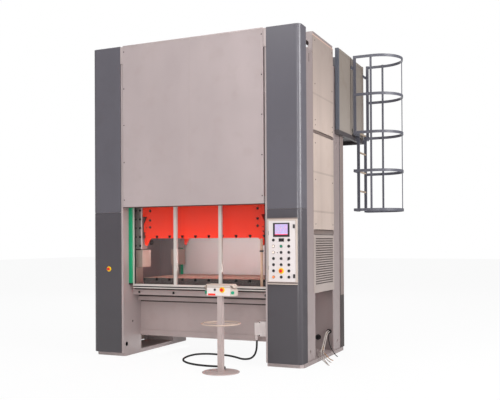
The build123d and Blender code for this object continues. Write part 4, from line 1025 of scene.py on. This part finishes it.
# %% [markdown]
# ## Floor and sky
# The press stands on a white studio floor that runs up to a white sky. Brighter lamps would make the floor white, but
# wash out the press. So the floor adds its own light, only for the camera, for reflections and through glass, and
# still shows the press's shadow. In the same way the sky is white to the camera and dim to the press.

# %% Lay the floor and the sky
floor_size, floor_share, dim_sky = 80, 0.93, 0.34


def studio_white(name):
    finish = Finish(name)
    seen = finish.rays("Is Camera Ray", "Is Glossy Ray", "Is Transmission Ray")
    plain = finish.node("ShaderNodeBsdfDiffuse", None, {"Color": (0.9, 0.9, 0.9, 1.0)})
    glow = finish.node("ShaderNodeEmission", None, {"Color": (1, 1, 1, 1), "Strength": 1.0})
    shown = finish.node("ShaderNodeMixShader", None, {0: seen * floor_share, 1: plain, 2: glow})
    finish.node("ShaderNodeOutputMaterial", None, {"Surface": shown})
    return finish.owner


bpy.ops.object.select_all(action="DESELECT")
bpy.ops.mesh.primitive_plane_add(size=floor_size, location=(0, 10, -0.002))
floor = bpy.context.object
floor.name = "studio_floor"
floor.data.materials.append(studio_white("studio_floor_white"))

sky = Finish("studio", bpy.data.worlds)
bpy.context.scene.world = sky.owner
seen = sky.rays("Is Camera Ray", "Is Transmission Ray")
strength = sky.node("ShaderNodeMapRange", None, {"Value": seen, "To Min": dim_sky, "To Max": 1.0})
background = sky.node("ShaderNodeBackground", None, {"Color": (1, 1, 1, 1), "Strength": strength})
sky.node("ShaderNodeOutputWorld", None, {"Surface": background})
print("floor", floor_size, "m, sky", dim_sky, "on the press")

# %% [markdown]
# ## Lamps
# The photograph has soft light with no hard shadows. A sun would draw edges, so the lamps are large areas, and each
# has one task: the big boxes at the front, side, top and rear set the level of each face, a strip draws the
# highlight down the right corner cover, a low lamp fills the front near the floor, and three small ones lift the bay
# and the space between the dies. The camera doesn't see them.

# %% Hang the lamps
def soft_lamp(name, place, target, size, power):
    lamp = bpy.data.lights.new(name, "AREA")
    lamp.shape = "RECTANGLE"
    lamp.size, lamp.size_y = size
    lamp.energy = power
    holder = bpy.data.objects.new(name, lamp)
    holder.visible_camera = False
    aim = (Vector(target) - Vector(place)).to_track_quat("-Z", "Y").to_matrix().to_4x4()
    holder.matrix_world = Matrix.Translation(place) @ aim
    bpy.context.scene.collection.objects.link(holder)


soft_lamp("front_softbox", (-1.0, -7.5, 8.5), (0, 0, 2.0), (6, 4), 262)
soft_lamp("side_softbox", (9.5, -2.5, 5.0), (0.5, 0, 2.6), (5.5, 6), 660)
soft_lamp("top_softbox", (0.5, -1.0, 10.5), (0, 0, 2.0), (6, 6), 120)
soft_lamp("rear_softbox", (-5.0, 9.0, 7.0), (0, 0, 2.2), (5, 4), 300)
soft_lamp("left_bay_lamp", (-0.70, 0.0, 0.07), (-1.4, 0.1, 0.16), (0.7, 0.05), 0.8)
soft_lamp("corner_strip", (4.6, -8.2, 4.8), (1.45, -0.9, 2.6), (1.2, 4.0), 110)
soft_lamp("low_fill", (2.6, -8.5, 1.6), (0, 0, 1.4), (1.6, 1.2), 105)
soft_lamp("die_space_lamp", (0, -0.45, 1.50), (0, 0.65, 1.30), (1.6, 0.2), 7.5)
soft_lamp("slide_lamp", (0, -0.632, 1.12), (0, -0.50, 1.75), (1.5, 0.02), 8)
print(len(bpy.data.lights), "lamps,", round(sum(lamp.energy for lamp in bpy.data.lights)), "W")
